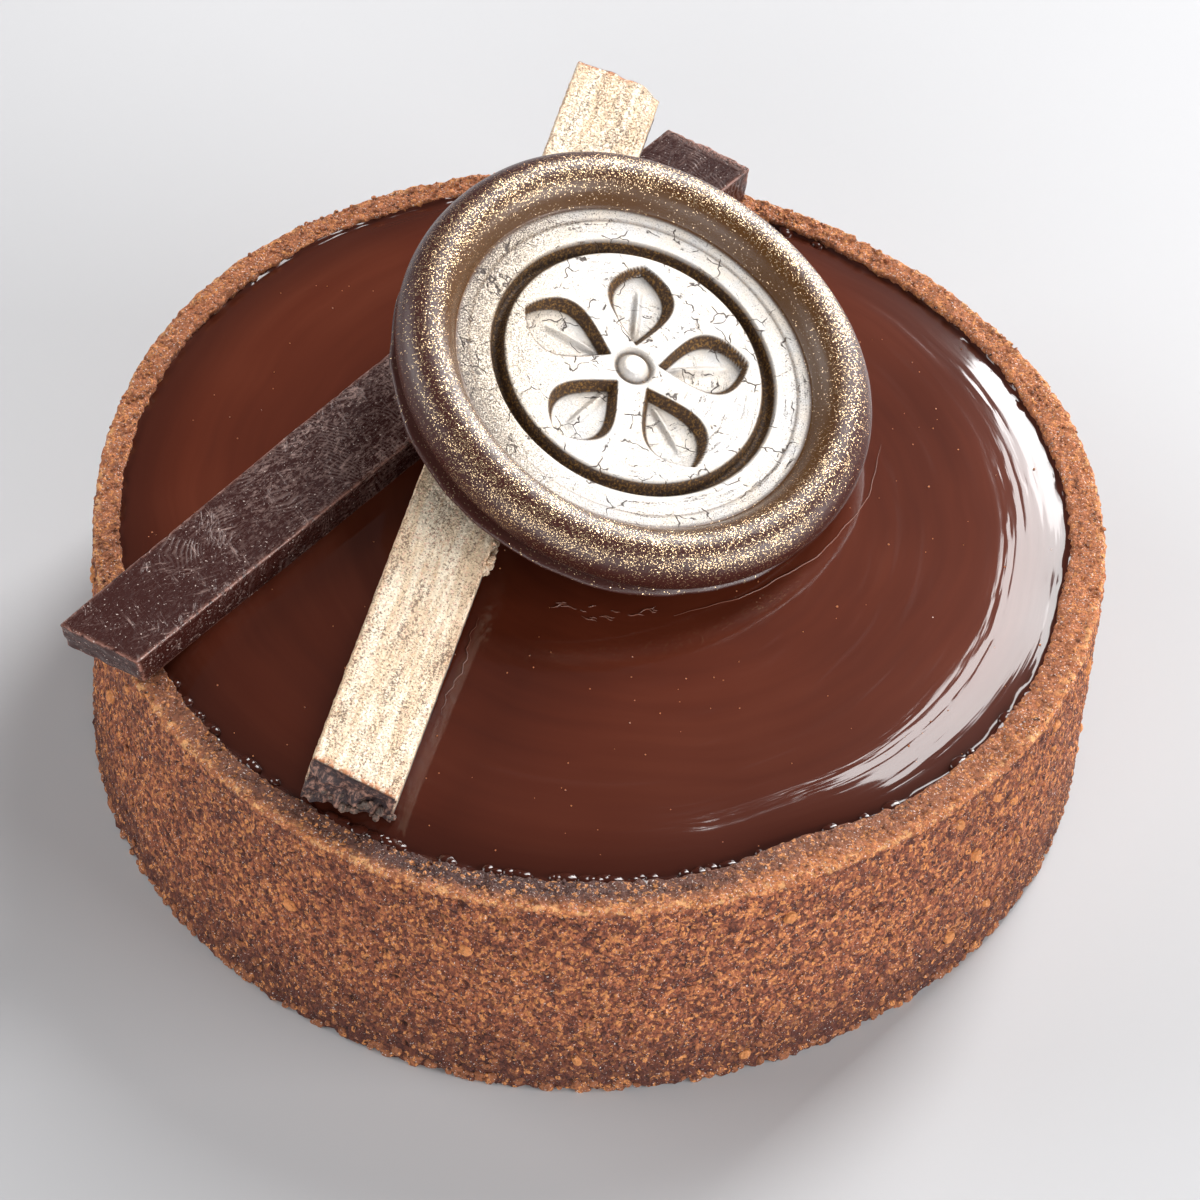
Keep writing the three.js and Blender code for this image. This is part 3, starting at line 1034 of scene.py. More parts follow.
class BarMeasure:
    """How a straight bar lies: its own axes, and its eight corners."""

    def __init__(self, node: str) -> None:
        """Reads them off a node's faces."""
        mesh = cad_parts[node].data
        points = Bench.points(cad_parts[node])
        normals = np.array([face.normal for face in mesh.polygons])
        areas = np.array([face.area for face in mesh.polygons])
        self.up = self._unit((normals * areas[:, None])[normals[:, 2] > 0.9].sum(0))
        spread = points - points.mean(0)
        lengthwise = np.linalg.svd(spread, full_matrices=False)[2][0]
        sides = (np.abs(normals @ self.up) < 0.3) & (np.abs(normals @ lengthwise) < 0.5)
        signs = np.sign(normals @ np.cross(self.up, lengthwise))
        across = (normals * (areas * signs)[:, None])[sides].sum(0)
        across = self._unit(across - self.up * (across @ self.up))
        along = np.cross(across, self.up)
        turn = math.copysign(1.0, along[1])
        self.along, self.across = along * turn, across * turn
        self.axes = np.stack([self.along, self.across, self.up])
        self.middle = points.mean(0)
        local = (points - self.middle) @ self.axes.T
        self.corners = np.zeros((2, 2, 2, 3))
        for end in (0, 1):
            reach = local[:, 0].min() if end == 0 else local[:, 0].max()
            ring = local[np.abs(local[:, 0] - reach) < 3.5 * MM]
            low, high = ring.min(0), ring.max(0)
            for side in (0, 1):
                for top in (0, 1):
                    v = (low, high)[side][1]
                    w = (low, high)[top][2]
                    nearest = np.hypot(ring[:, 1] - v, ring[:, 2] - w).argmin()
                    self.corners[end, side, top] = (ring[nearest, 0], v, w)
        self.start = self.corners[0, :, :, 0].mean()

    @staticmethod
    def _unit(vector: np.ndarray) -> np.ndarray:
        """The vector at length 1."""
        return vector / np.linalg.norm(vector)

    def local(self, points: np.ndarray) -> np.ndarray:
        """Positions along, across and up the bar in metres, from the middle of its near end."""
        moved = (points - self.middle) @ self.axes.T
        moved[:, 0] -= self.start
        moved[:, 2] -= self.corners[0, 0, 0, 2]
        return moved

    def world(self, local: np.ndarray) -> np.ndarray:
        """Back from positions on the bar to the frame."""
        moved = local.copy()
        moved[..., 0] += self.start
        moved[..., 2] += self.corners[0, 0, 0, 2]
        return moved @ self.axes + self.middle


class SealMeasure:
    """How the seal lies: its middle, its turn and its outline."""

    def __init__(self) -> None:
        """Reads them off the node's flat underside and widest ring."""
        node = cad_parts["seal"]
        points = Bench.points(node)
        down = min(node.data.polygons, key=lambda face: face.area * face.normal.z)
        self.normal = -np.array(down.normal)
        self.turn = Vector((0, 0, 1)).rotation_difference(Vector(self.normal)).to_matrix()
        level = points @ self.normal
        flat = points[level < level.min() + 0.01 * MM]
        keys, counts = np.unique(np.round(flat / MM, 3), axis=0, return_counts=True)
        self.middle = keys[counts.argmax()] * MM
        local = self.local(points)
        radius, angle = polar(local)
        widest = radius > 0.955 * radius.max()
        self.outline = Outline(angle[widest], radius[widest], 5)

    def local(self, points: np.ndarray) -> np.ndarray:
        """Positions on the seal in metres, from the middle of its underside."""
        return (points - self.middle) @ np.array(self.turn)

    def world(self, local: np.ndarray) -> np.ndarray:
        """Back from positions on the seal to the frame."""
        return local @ np.array(self.turn).T + self.middle


# ---------------------------------------------------------------------- pieces


@dataclass
class Crust:
    """The cocoa crust: a straight-sided cup with a grainy flat rim.

    reliefs lists the kind, size and depth of each relief pressed into it.
    """

    shell: ShellMeasure
    turns: int = 86
    cuts: int = 9
    wall_rows: int = 76
    rim_rows: int = 8
    inner_rows: int = 8
    inner_depth: float = 2.4 * MM
    rounding: float = 0.26 * MM
    pits: int = 260
    pit_depth: float = 0.38 * MM
    reliefs: tuple[tuple[Grain, float, float], ...] = (
        (Grain.CLOUDS, 5.5 * MM, 0.24 * MM),
        (Grain.CLOUDS, 0.9 * MM, 0.32 * MM),
        (Grain.PEBBLES, 0.5 * MM, 0.32 * MM),
    )
    seed: int = 11

    def profile(self) -> list[Point]:
        """Half section from the middle of the underside to the middle of the cup's floor."""
        outer = float(self.shell.outer.share[0])
        bore = float(self.shell.bore.share[0])
        height = self.shell.height
        points = [(share * outer, 0.0) for share in (0, 0.3, 0.6, 0.85, 0.95, 0.98)]
        foot = 0.4 * MM
        points += [(outer - foot * (1 - math.sin(a)), foot * (1 - math.cos(a))) for a in (0.5, 1.0)]
        rise = height - self.rounding - foot
        points += [(outer, foot + rise * row / self.wall_rows) for row in range(self.wall_rows + 1)]
        points += self._arc(outer - self.rounding, height - self.rounding, (30, 60))
        inner = bore + self.rounding
        span = outer - self.rounding - inner
        points += [
            (outer - self.rounding - span * row / self.rim_rows, height)
            for row in range(self.rim_rows + 1)
        ]
        points += self._arc(inner, height - self.rounding, (120, 150))
        for row in range(self.inner_rows + 1):
            points.append((bore, height - self.rounding - self.inner_depth * row / self.inner_rows))
        floor = self.shell.floor
        points += [(bore, (height + floor) / 2), (bore, floor), (bore / 2, floor), (0.0, floor)]
        return points

    def _arc(self, radius: float, height: float, degrees: Sequence[float]) -> list[Point]:
        """Points of a rounding about a centre."""
        turns = [math.radians(turn) for turn in degrees]
        return [
            (radius + self.rounding * math.cos(turn), height + self.rounding * math.sin(turn))
            for turn in turns
        ]

    def build(self) -> Piece:
        """Models the crust."""
        piece = Bench.turned("crust_shell", self.profile(), self.turns, self.cuts)
        points = Bench.points(piece)
        radius, angle = polar(points)
        outer = float(self.shell.outer.share[0])
        bore = float(self.shell.bore.share[0])
        share = np.clip((radius - bore) / (outer - bore), 0.0, 1.0)
        outward = self.shell.outer.at(angle) - outer
        inward = self.shell.bore_radius(angle) - bore
        under = points[:, 2] < 0.5 * MM
        shift = np.where(under, outward, outward * share + inward * (1 - share))
        grown = radius + shift * np.clip(radius / bore, 0.0, 1.0)
        crest = smoothstep(0.6 * self.shell.height, self.shell.height, points[:, 2])
        lift = (self.shell.rim.at(angle) - self.shell.height) * crest
        shaped = np.stack([grown * np.cos(angle), grown * np.sin(angle), points[:, 2] + lift], 1)
        Bench.move(piece, shaped)
        for grain, size, depth in self.reliefs:
            Bench.relief(piece, grain, size, depth)
        roughened = Bench.points(piece)
        ragged = lumps(shaped / MM, 1.1, 5.0) * 0.30 + lumps(shaped / MM, 0.5, 2.0) * 0.14
        ragged = ragged * (radius > 0.97 * outer) * np.exp(-points[:, 2] / (0.6 * MM))
        roughened[:, :2] *= (1 + ragged * MM / outer)[:, None]
        hidden = (share < 0.5) & (points[:, 2] < self.shell.height - 3 * MM)
        hidden = hidden | under & (radius < 0.97 * outer)
        roughened[hidden] = shaped[hidden]
        # How deep each vertex lies in a pit; the material paints shade there.
        pit = self._press_pits(roughened, points)
        roughened[:, 2] = np.maximum(roughened[:, 2], 0.0)
        Bench.move(piece, roughened)
        height = points[:, 2]
        on_rim = smoothstep(self.shell.height - 0.5 * MM, self.shell.height - 0.1 * MM, height)
        lip = bell(radius - outer, 0.62 * MM)
        lip = lip * smoothstep(self.shell.height - 0.5 * MM, self.shell.height - 0.15 * MM, height)
        Bench.mark(piece, rim=on_rim, wet=self.shell.wetness(shaped), lip=lip, pit=pit)
        Bench.smooth(piece, 80)
        settle(piece, BakedCrust(), Slot.CRUST, "crust")
        return piece

    def _press_pits(self, points: np.ndarray, rest: np.ndarray) -> np.ndarray:
        """Presses small pits into the wall and returns how deep each vertex lies in one."""
        draw = random.Random(self.seed)
        radius, angle = polar(rest)
        wall = np.flatnonzero((radius > 0.98 * radius.max()) & (rest[:, 2] > MM))
        depth = np.zeros(len(points))
        for _ in range(self.pits):
            turn = draw.uniform(-math.pi, math.pi)
            height = draw.uniform(1.0, 20.0) * MM
            width = draw.uniform(0.17, 0.30) * MM
            stretch = draw.uniform(0.8, 1.5)
            off = turn_from(turn, angle[wall]) * radius.max() / stretch
            near = bell(np.hypot(off, rest[wall, 2] - height), width)
            depth[wall] = np.maximum(depth[wall], near)
        inward = points[:, :2] / np.maximum(np.hypot(points[:, 0], points[:, 1]), MM)[:, None]
        points[:, :2] -= inward * (depth * self.pit_depth)[:, None]
        return depth


@dataclass
class Crumbs:
    """Loose crumbs and sugar grains that stand out of the crust.

    golden lists the larger pale crumbs: from and to which angle in degrees, and how many.
    """

    shell: ShellMeasure
    on_wall: int = 1300
    on_rim: int = 1000
    at_foot: int = 620
    golden: tuple[tuple[int, int, int], ...] = ((-200, -150, 14), (-42, 14, 30), (-150, -42, 5))
    seed: int = 23

    def _lie(self, draw: random.Random, place: Vector, out: Vector, size: float, flat: float) -> Matrix:
        """Matrix of a crumb that lies against a surface.

        Args:
            draw: random numbers.
            place: where it lies.
            out: direction away from the surface.
            size: its width.
            flat: its thickness as a share of its width.

        Returns:
            The matrix.
        """
        turn = Matrix.Rotation(draw.uniform(0, math.tau), 4, "Z")
        grow = Matrix.Diagonal((size, size * draw.uniform(0.6, 1.0), size * flat, 1.0))
        facing = out.to_track_quat("Z", "Y").to_matrix().to_4x4()
        return Matrix.Translation(place) @ facing @ turn @ grow

    def _beside(
        self, draw: random.Random, turn: float, tilt: float, rise: Point, inset: float = 0.0
    ) -> tuple[Vector, Vector]:
        """Place on the wall and the direction out of it.

        Args:
            draw: random numbers.
            turn: angle of the place about the tart's axis.
            tilt: how far the direction leans up.
            rise: least and greatest height in millimetres.
            inset: how far the place is let into the wall.

        Returns:
            The place and the direction.
        """
        out = Vector((math.cos(turn), math.sin(turn), tilt))
        spot = out * (self.shell.outer.one(turn) - inset)
        spot.z = draw.uniform(*rise) * MM
        return spot, out

    def on_crust(self) -> Piece:
        """Crumbs on the wall, along the rim's edges and at the foot."""
        draw = random.Random(self.seed)
        places = []
        for _ in range(self.on_wall):
            turn = draw.uniform(-math.pi, math.pi)
            spot, out = self._beside(draw, turn, draw.uniform(-0.2, 0.3), (0.3, 20.4))
            size = draw.uniform(0.22, 0.55) * MM * (1.35 if draw.random() < 0.06 else 1.0)
            places.append(self._lie(draw, spot, out, size, 0.5))
        for _ in range(self.on_rim):
            turn = draw.uniform(-math.pi, math.pi)
            bore = float(self.shell.bore_radius(np.array([turn]))[0])
            radius = draw.uniform(bore + 0.1 * MM, self.shell.outer.one(turn) - 0.1 * MM)
            spot = Vector((radius * math.cos(turn), radius * math.sin(turn), self.shell.rim.one(turn)))
            out = Vector((draw.uniform(-0.3, 0.3), draw.uniform(-0.3, 0.3), 1.0))
            places.append(self._lie(draw, spot, out, draw.uniform(0.16, 0.36) * MM, 0.6))
        for _ in range(self.at_foot):
            turn = draw.uniform(-math.pi, math.pi)
            spot, out = self._beside(draw, turn, 0.1, (0.15, 0.9), 0.05 * MM)
            places.append(self._lie(draw, spot, out, draw.uniform(0.3, 0.75) * MM, 0.55))
        plain = len(places)
        for low, high, count in self.golden:
            for _ in range(count):
                turn = math.radians(draw.uniform(low, high))
                spot, out = self._beside(draw, turn, 0.2, (2.0, 19.5))
                places.append(self._lie(draw, spot, out, draw.uniform(0.5, 0.95) * MM, 0.7))
        shapes = [Bench.pebble(seed) for seed in (1, 2, 3, 4, 5)]
        piece = Bench.joined("crust_crumbs", shapes, places)
        points = Bench.points(piece)
        points[:, 2] = np.maximum(points[:, 2], 0.0)
        Bench.move(piece, points)
        golden = np.arange(len(points)) >= plain * len(shapes[0][0])
        lip = np.where(golden, 1.75, 0.1)
        Bench.mark(piece, rim=np.full(len(points), 0.5), wet=self.shell.wetness(points), lip=lip)
        Bench.smooth(piece, 40)
        finish = BakedCrust("crumb_crust", deep=(0.13, 0.05, 0.03), brown=(0.28, 0.10, 0.045))
        settle(piece, finish, Slot.CRUST)
        return piece


@dataclass
class Filling:
    """The glazed filling: level in the middle, rounding down to the crust."""

    shell: ShellMeasure
    turns: int = 60
    cuts: int = 6
    crown: float = 0.35 * MM
    shoulder_width: float = 7.44 * MM
    shoulder_drop: float = 0.95 * MM
    creep: float = 0.34 * MM
    creep_width: float = 0.17 * MM
    reach: float = 0.55 * MM

    def height(self, inset: np.ndarray) -> np.ndarray:
        """Level of the glaze at a distance in from the crust."""
        run = np.clip(1 - inset / self.shoulder_width, 0.0, 1.0)
        level = self.shell.filling_top + self.crown - self.shoulder_drop * run**2.89
        return level + self.creep * np.exp(-np.clip(inset, 0, None) / self.creep_width)

    def profile(self) -> list[Point]:
        """Half section, whose edge has an inset of 0."""
        bore = float(self.shell.bore.share[0])
        edge = bore + self.reach
        points = [(0.0, self.shell.filling_base), (bore * 0.6, self.shell.filling_base)]
        points += [(edge - 0.3 * MM, self.shell.filling_base), (edge, 17.0 * MM)]
        insets = [-self.reach, -0.25 * MM]
        insets += [step * 0.12 * MM for step in range(10)]
        insets += [1.2 * MM + step * 0.22 * MM for step in range(30)]
        insets += [7.8 * MM + step * 1.0 * MM for step in range(27)]
        for inset in insets:
            points.append((bore - inset, float(self.height(np.array([inset]))[0])))
        points.append((0.0, self.shell.filling_top + self.crown))
        return points

    def build(self) -> Piece:
        """Models the filling."""
        piece = Bench.turned("glazed_filling", self.profile(), self.turns, self.cuts)
        points = Bench.points(piece)
        radius, angle = polar(points)
        bore = float(self.shell.bore.share[0])
        share = np.clip(radius / bore, 0.0, 1.0) ** 6
        grown = radius + (self.shell.bore_radius(angle) - bore) * share
        wet = bell(radius - bore, 0.35 * MM)
        flat = np.stack([np.cos(angle), np.sin(angle), np.zeros_like(angle)], 1) * 37.0
        creep = lumps(flat, 1.7) * 0.16 * MM * wet
        left = bell(turn_from(math.pi, angle), 0.8)
        fall = np.exp(-np.clip(bore - radius, 0, None) / self.creep_width)
        creep = creep - left * 0.8 * self.creep * fall
        slow = lumps(flat, 9.0, 4.0) * 0.10 * MM * share
        top = points[:, 2] > 16 * MM
        lifted = points[:, 2] + np.where(top, creep + slow, 0.0)
        Bench.mark(piece, inset=(bore - radius) / MM)
        Bench.move(piece, np.stack([grown * np.cos(angle), grown * np.sin(angle), lifted], 1))
        Bench.smooth(piece, 50)
        settle(piece, MirrorGlaze(), Slot.GLAZE, "filling")
        return piece


@dataclass
class Stick:
    """A snapped stick of chocolate, built on a packed bar."""

    bar: BarMeasure
    cuts: tuple[int, int, int] = (15, 20, 8)
    further_cuts: int = 11
    rounding: float = 0.2 * MM
    lowered: float = 0.28 * MM

    def block(self, name: str) -> Piece:
        """Dices a block with the bar's corners, let down on to what it lies on."""
        corners = self.bar.corners.copy()
        corners[:, :, 0, 2] -= self.lowered
        placed = corners @ self.bar.axes + self.bar.middle
        piece = Bench.block(name, placed)
        Bench.dice(piece, self.bar.axes, self.cuts)
        Bench.dice(piece, self.bar.axes, (self.further_cuts, 0, 0))
        Bench.round_edges(piece, self.rounding, 2)
        return piece

    def faces_off(self, local: np.ndarray) -> dict[str, np.ndarray]:
        """Distance of each point in from the planes of the bar.

        Args:
            local: positions on the bar in metres.

        Returns:
            Distances from the near and far ends, the left and right sides, the
            bottom and the top.
        """
        corners = self.bar.corners.copy()
        corners[..., 0] -= self.bar.start
        corners[..., 2] -= self.bar.corners[0, 0, 0, 2]
        along = local[:, 0] / corners[1, :, :, 0].mean()
        low = corners[0, 0, 0, 1] * (1 - along) + corners[1, 0, 0, 1] * along
        high = corners[0, 1, 0, 1] * (1 - along) + corners[1, 1, 0, 1] * along
        bottom, top = corners[0, 0, 0, 2], corners[0, 0, 1, 2]
        across = np.clip((local[:, 1] - low) / (high - low), 0, 1)
        up = np.clip((local[:, 2] - bottom) / (top - bottom), 0, 1)
        planes = []
        for end in corners:
            under = end[0, 0, 0] * (1 - across) + end[1, 0, 0] * across
            over = end[0, 1, 0] * (1 - across) + end[1, 1, 0] * across
            planes.append(under * (1 - up) + over * up)
        return {
            "near": local[:, 0] - planes[0],
            "far": planes[1] - local[:, 0],
            "left": high - local[:, 1],
            "right": local[:, 1] - low,
            "bottom": local[:, 2] - bottom + self.lowered,
            "top": top - local[:, 2],
        }

    @staticmethod
    def edges(off: dict[str, np.ndarray], width: float) -> np.ndarray:
        """Closeness of each surface point to an edge of the bar, from 0 to 1."""
        ordered = np.sort(np.stack([np.maximum(gap, 0) for gap in off.values()]), axis=0)
        return bell(ordered[1], width)


@dataclass
class DarkStick(Stick):
    """The dark stick, which lies flat across the rim."""

    cuts: tuple[int, int, int] = (15, 22, 9)
    bow: float = 0.25 * MM

    def build(self) -> Piece:
        """Models the stick with its bowed edge, chipped edges and broken far end."""
        piece = self.block("dark_stick_bar")
        local = self.bar.local(Bench.points(piece))
        off = self.faces_off(local)
        length = local[:, 0].max()
        run = np.clip(local[:, 0] / length, 0, 1)
        left = off["right"] / (off["left"] + off["right"])
        top = np.clip(1 - off["top"] / (2.5 * MM), 0, 1)
        flat = local / MM
        shaped = local.copy()
        shaped[:, 1] += self.bow * 4 * run * (1 - run) * left
        shaped[:, 2] += lumps(flat * (0.5, 1.0, 1.0), 6.0) * 0.05 * MM
        cut = 1 - smoothstep(0.0, 0.5 * MM, np.minimum(off["left"], off["right"]))
        shaped[:, 1] += lumps(flat * (0.35, 1.0, 1.0), 0.9, 3.0) * 0.02 * MM * cut
        near = 1 - smoothstep(0.0, 0.9 * MM, off["near"])
        far = 1 - smoothstep(0.0, 1.1 * MM, off["far"])
        shaped[:, 0] += near * (0.12 * MM * (1 - top) + lumps(flat, 1.1, 5.0) * 0.10 * MM)
        torn = far * smoothstep(0.35, 0.8, top)
        shaped[:, 0] += far * lumps(flat, 1.3, 9.0) * 0.10 * MM - torn * 0.12 * MM
        shaped[:, 0] += torn * lumps(flat, 0.45, 2.0) * 0.10 * MM
        edge = self.edges(off, 0.16 * MM)
        chip = edge * np.clip(lumps(flat, 0.8, 7.0) - 0.55, 0, 1)
        inward = np.stack([np.zeros(len(flat)), np.sign(-local[:, 1]), -np.ones(len(flat))], 1)
        shaped += inward * (chip * 0.30 * MM)[:, None]
        Bench.move(piece, self.bar.world(shaped))
        Bench.mark(piece, stick=flat, edge=edge, torn=np.clip(torn * 1.2 + chip * 1.5, 0, 1))
        Bench.smooth(piece, 55)
        settle(piece, SnappedChocolate(), Slot.DARK, "dark_stick")
        return piece


@dataclass
class GoldStick(Stick):
    """The gold-dusted stick, which climbs over the dark one and ends on the glaze."""

    cuts: tuple[int, int, int] = (15, 21, 10)
    lowered: float = 0.5 * MM
    lump_from: float = 22.0 * MM
    lump_to: float = 27.5 * MM
    side_lumps: int = 46
    end_lumps: int = 26
    seed: int = 5

    def build(self) -> Piece:
        """Models the stick with its torn near end and crumbly edges."""
        piece = self.block("gold_stick_bar")
        local = self.bar.local(Bench.points(piece))
        off = self.faces_off(local)
        flat = local / MM
        up = np.clip(1 - off["top"] / (3.2 * MM), 0, 1)
        left = off["right"] / (off["left"] + off["right"])
        near = 1 - smoothstep(0.0, 1.3 * MM, off["near"])
        low = 1 - smoothstep(0.70, 0.84, up + lumps(flat, 2.4, 6.0) * 0.10)
        shaped = local.copy()
        rough = lumps(flat, 1.15, 1.0) * 0.6 + lumps(flat, 0.5, 4.0) * 0.4
        tear = 0.35 * smoothstep(0.45, 1.0, left) - 0.65 * (1 - smoothstep(0.1, 0.55, left))
        shaped[:, 0] -= near * low * (tear + rough * 0.55) * MM
        shaped[:, 0] += near * (1 - low) * lumps(flat, 2.0, 8.0) * 0.05 * MM
        far = 1 - smoothstep(0.0, 1.3 * MM, off["far"])
        corner = smoothstep(0.35, 0.0, left)
        shaped[:, 0] -= far * (corner**2 * 1.1 * MM + lumps(flat, 1.2, 2.0) * 0.18 * MM)
        shaped[:, 2] += lumps(flat * (0.4, 1.0, 1.0), 3.0, 1.5) * 0.04 * MM
        edge = self.edges(off, 0.35 * MM)
        crumble = edge * np.clip(lumps(flat, 0.55, 3.0), -0.2, 1)
        outward = np.sign(local[:, 1])
        shaped[:, 1] += outward * crumble * 0.07 * MM
        Bench.move(piece, self.bar.world(shaped))
        side = np.minimum(off["left"], off["right"]) < 0.12 * MM
        powder = smoothstep(0.1, 0.75, up + lumps(flat, 0.8, 5.0) * 0.25)
        on_end = np.minimum(off["near"], off["far"]) < 0.08 * MM
        bare = np.where(side, 1 - powder, 0.0)
        bare = np.where(off["bottom"] < 0.1 * MM, 1.0, bare)
        bare = np.where(on_end, 1.0, bare)
        burnt = bell(np.maximum(off["near"], 0), 0.55 * MM)
        burnt = burnt + bell(np.maximum(off["far"], 0), 0.45 * MM) * (left > 0.3)
        rust = np.clip(burnt * (up > 0.8) + edge * 0.25, 0, 1)
        torn = near * np.maximum(low, 0.8 * (up < 0.96)) + far * 0.5
        Bench.mark(piece, stick=flat, bare=bare, torn=torn, rust=rust)
        Bench.smooth(piece, 55)
        settle(piece, GoldDust(), Slot.GOLD, "gold_stick")
        return piece

    def build_lumps(self) -> Piece:
        """Sets small lumps of chocolate on the right edge and a few at the torn end."""
        draw = random.Random(self.seed)
        corners = self.bar.corners
        right = corners[0, 0, 0, 1]
        top = corners[0, 0, 1, 2] - corners[0, 0, 0, 2]
        spots = []
        for _ in range(self.side_lumps):
            along = draw.uniform(self.lump_from, self.lump_to)
            across = right - draw.uniform(-0.15, 0.30) * MM
            spots.append((along, across, top - draw.uniform(0.1, 2.4) * MM, draw.uniform(0.25, 0.62)))
        for _ in range(self.end_lumps):
            along = draw.uniform(-0.5, 0.4) * MM
            across = draw.uniform(right, -right)
            spots.append((along, across, draw.uniform(0.0, 1.2) * MM, draw.uniform(0.25, 0.6)))
        places = []
        for along, across, up, size in spots:
            where = self.bar.world(np.array([[along, across, up]]))[0]
            turn = Matrix.Rotation(draw.uniform(0, math.tau), 4, Vector((1, draw.random(), draw.random())))
            grow = Matrix.Diagonal((size * MM, size * MM * draw.uniform(0.6, 1), size * MM * 0.8, 1.0))
            places.append(Matrix.Translation(where) @ turn @ grow)
        piece = Bench.joined("gold_stick_lumps", [Bench.pebble(seed) for seed in (7, 8, 9)], places)
        local = self.bar.local(Bench.points(piece)) / MM
        on_side = local[:, 0] > 5
        bare, torn = np.where(on_side, 0.12, 0.9), np.where(on_side, 0.0, 1.0)
        Bench.mark(piece, stick=local, bare=bare, torn=torn, rust=np.full(len(local), 0.25))
        Bench.smooth(piece, 40)
        settle(piece, GoldDust("gold_dust_lumps"), Slot.GOLD)
        return piece


@dataclass
class Seal:
    """The seal: a disc with a fat rolled rim, and a blossom in a ring on its sunken face."""

    lie: SealMeasure
    turns: int = 60
    cuts: int = 7
    ring_step: float = 0.135 * MM
    radius: float = 18.5 * MM
    roll_half: float = 2.2 * MM
    roll_top: float = 4.3 * MM
    face_radius: float = 13.9 * MM
    face_height: float = 2.2 * MM
    ring_radius: float = 10.6 * MM
    groove_floor: float = 0.12 * MM
    groove_half: float = 0.62 * MM
    depth: float = 0.9 * MM
    step_radius: float = 12.85 * MM
    step_height: float = 0.09 * MM
    petals: int = 5
    petal_inner: float = 1.9 * MM
    petal_outer: float = 9.2 * MM
    petal_half: float = 2.6 * MM
    petal_turn: float = math.radians(18)
    petal_slope: float = 0.62 * MM
    button: Point = (0.75 * MM, 1.15 * MM)
    button_height: float = 0.22 * MM
    collar_radius: float = 1.3 * MM
    collar_depth: float = 0.30 * MM

    def profile(self) -> list[Point]:
        """Half section from the underside out round the roll and in over the face."""
        centre = self.radius - self.roll_half
        half_height = self.roll_top / 2
        points = [(share * MM, 0.0) for share in (0, 5, 10, 14, 16, 17.2, 17.9)]
        points += [(18.12 * MM, 0.06 * MM), (18.2 * MM, 0.2 * MM), (18.1 * MM, 0.36 * MM)]
        points.append((17.85 * MM, 0.44 * MM))
        for turn in range(-48, 166, 9):
            angle = math.radians(turn)
            points.append(
                (centre + self.roll_half * math.cos(angle), half_height * (1 + math.sin(angle)))
            )
        points.append((self.face_radius + 0.12 * MM, self.face_height + 0.28 * MM))
        rings = int(self.face_radius / self.ring_step)
        points += [(self.face_radius * (1 - ring / rings), self.face_height) for ring in range(rings + 1)]
        return points

    def _petals(self, radius: np.ndarray, angle: np.ndarray) -> tuple[np.ndarray, np.ndarray]:
        """How far each point lies inside a petal, and how near it is to a petal's rib.

        Args:
            radius: distance from the middle of the face.
            angle: angle about it.

        Returns:
            Metres inside the outline, negative outside it, and closeness to the rib.
        """
        pitch = math.tau / self.petals
        turned = (angle - self.petal_turn + pitch / 2) % pitch - pitch / 2
        along = radius * np.cos(turned)
        across = np.abs(radius * np.sin(turned))
        run = np.clip((along - self.petal_inner) / (self.petal_outer - self.petal_inner), 0, 1)
        width = self.petal_half * np.sin(math.pi * run**1.35).clip(0) ** 0.75
        rib = bell(across, 0.26 * MM) * smoothstep(0.08, 0.3, run)
        inside = np.where(width > 0.05 * MM, width - across, -MM)
        return inside, rib * (1 - smoothstep(0.55, 0.85, run))

    def build(self) -> Piece:
        """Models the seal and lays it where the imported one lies."""
        piece = Bench.turned("chocolate_seal", self.profile(), self.turns, self.cuts)
        points = Bench.points(piece)
        radius, angle = polar(points)
        height = points[:, 2]
        upper = height > 1.5 * MM
        on_face = upper & (radius < self.face_radius + 0.01 * MM)
        gap = np.abs(radius - self.ring_radius)
        groove = (1 - smoothstep(self.groove_floor, self.groove_half, gap)) * on_face
        inside, rib = self._petals(radius, angle)
        sunk = smoothstep(0.0, self.petal_slope, inside) * on_face
        button = (1 - smoothstep(*self.button, radius)) * on_face
        collar = bell(radius - self.collar_radius, 0.2 * MM) * on_face
        rise = -groove * self.depth - sunk * self.depth * (1 - 0.33 * rib)
        rise = rise + self.button_height * button - self.collar_depth * collar
        step = smoothstep(self.step_radius - 0.1 * MM, self.step_radius + 0.1 * MM, radius) * on_face
        rise = rise + step * self.step_height
        flat = points / MM
        slow = lumps(flat * (1, 1, 0.3), 5.0, 2.0)
        rise = rise + slow * 0.035 * MM * on_face
        share = smoothstep(self.ring_radius, self.radius, radius)
        mean = float(self.lie.outline.share[0])
        grown = radius + (self.lie.outline.at(angle) - mean) * share
        foot = (height < 0.5 * MM) & (radius > 17.6 * MM)
        lower_left = bell(np.degrees(turn_from(-2.3, angle)), 38.0)
        grown = grown + foot * (0.62 * lower_left + lumps(flat, 2.5, 4.0) * 0.10) * MM
        roll = upper & ~on_face | (radius > 17.6 * MM)
        swell = 1 + 0.012 * lumps(flat * (1, 1, 0), 7.0, 8.0) * roll
        local = np.stack([grown * np.cos(angle), grown * np.sin(angle), height * swell + rise], 1)
        Bench.move(piece, self.lie.world(local))
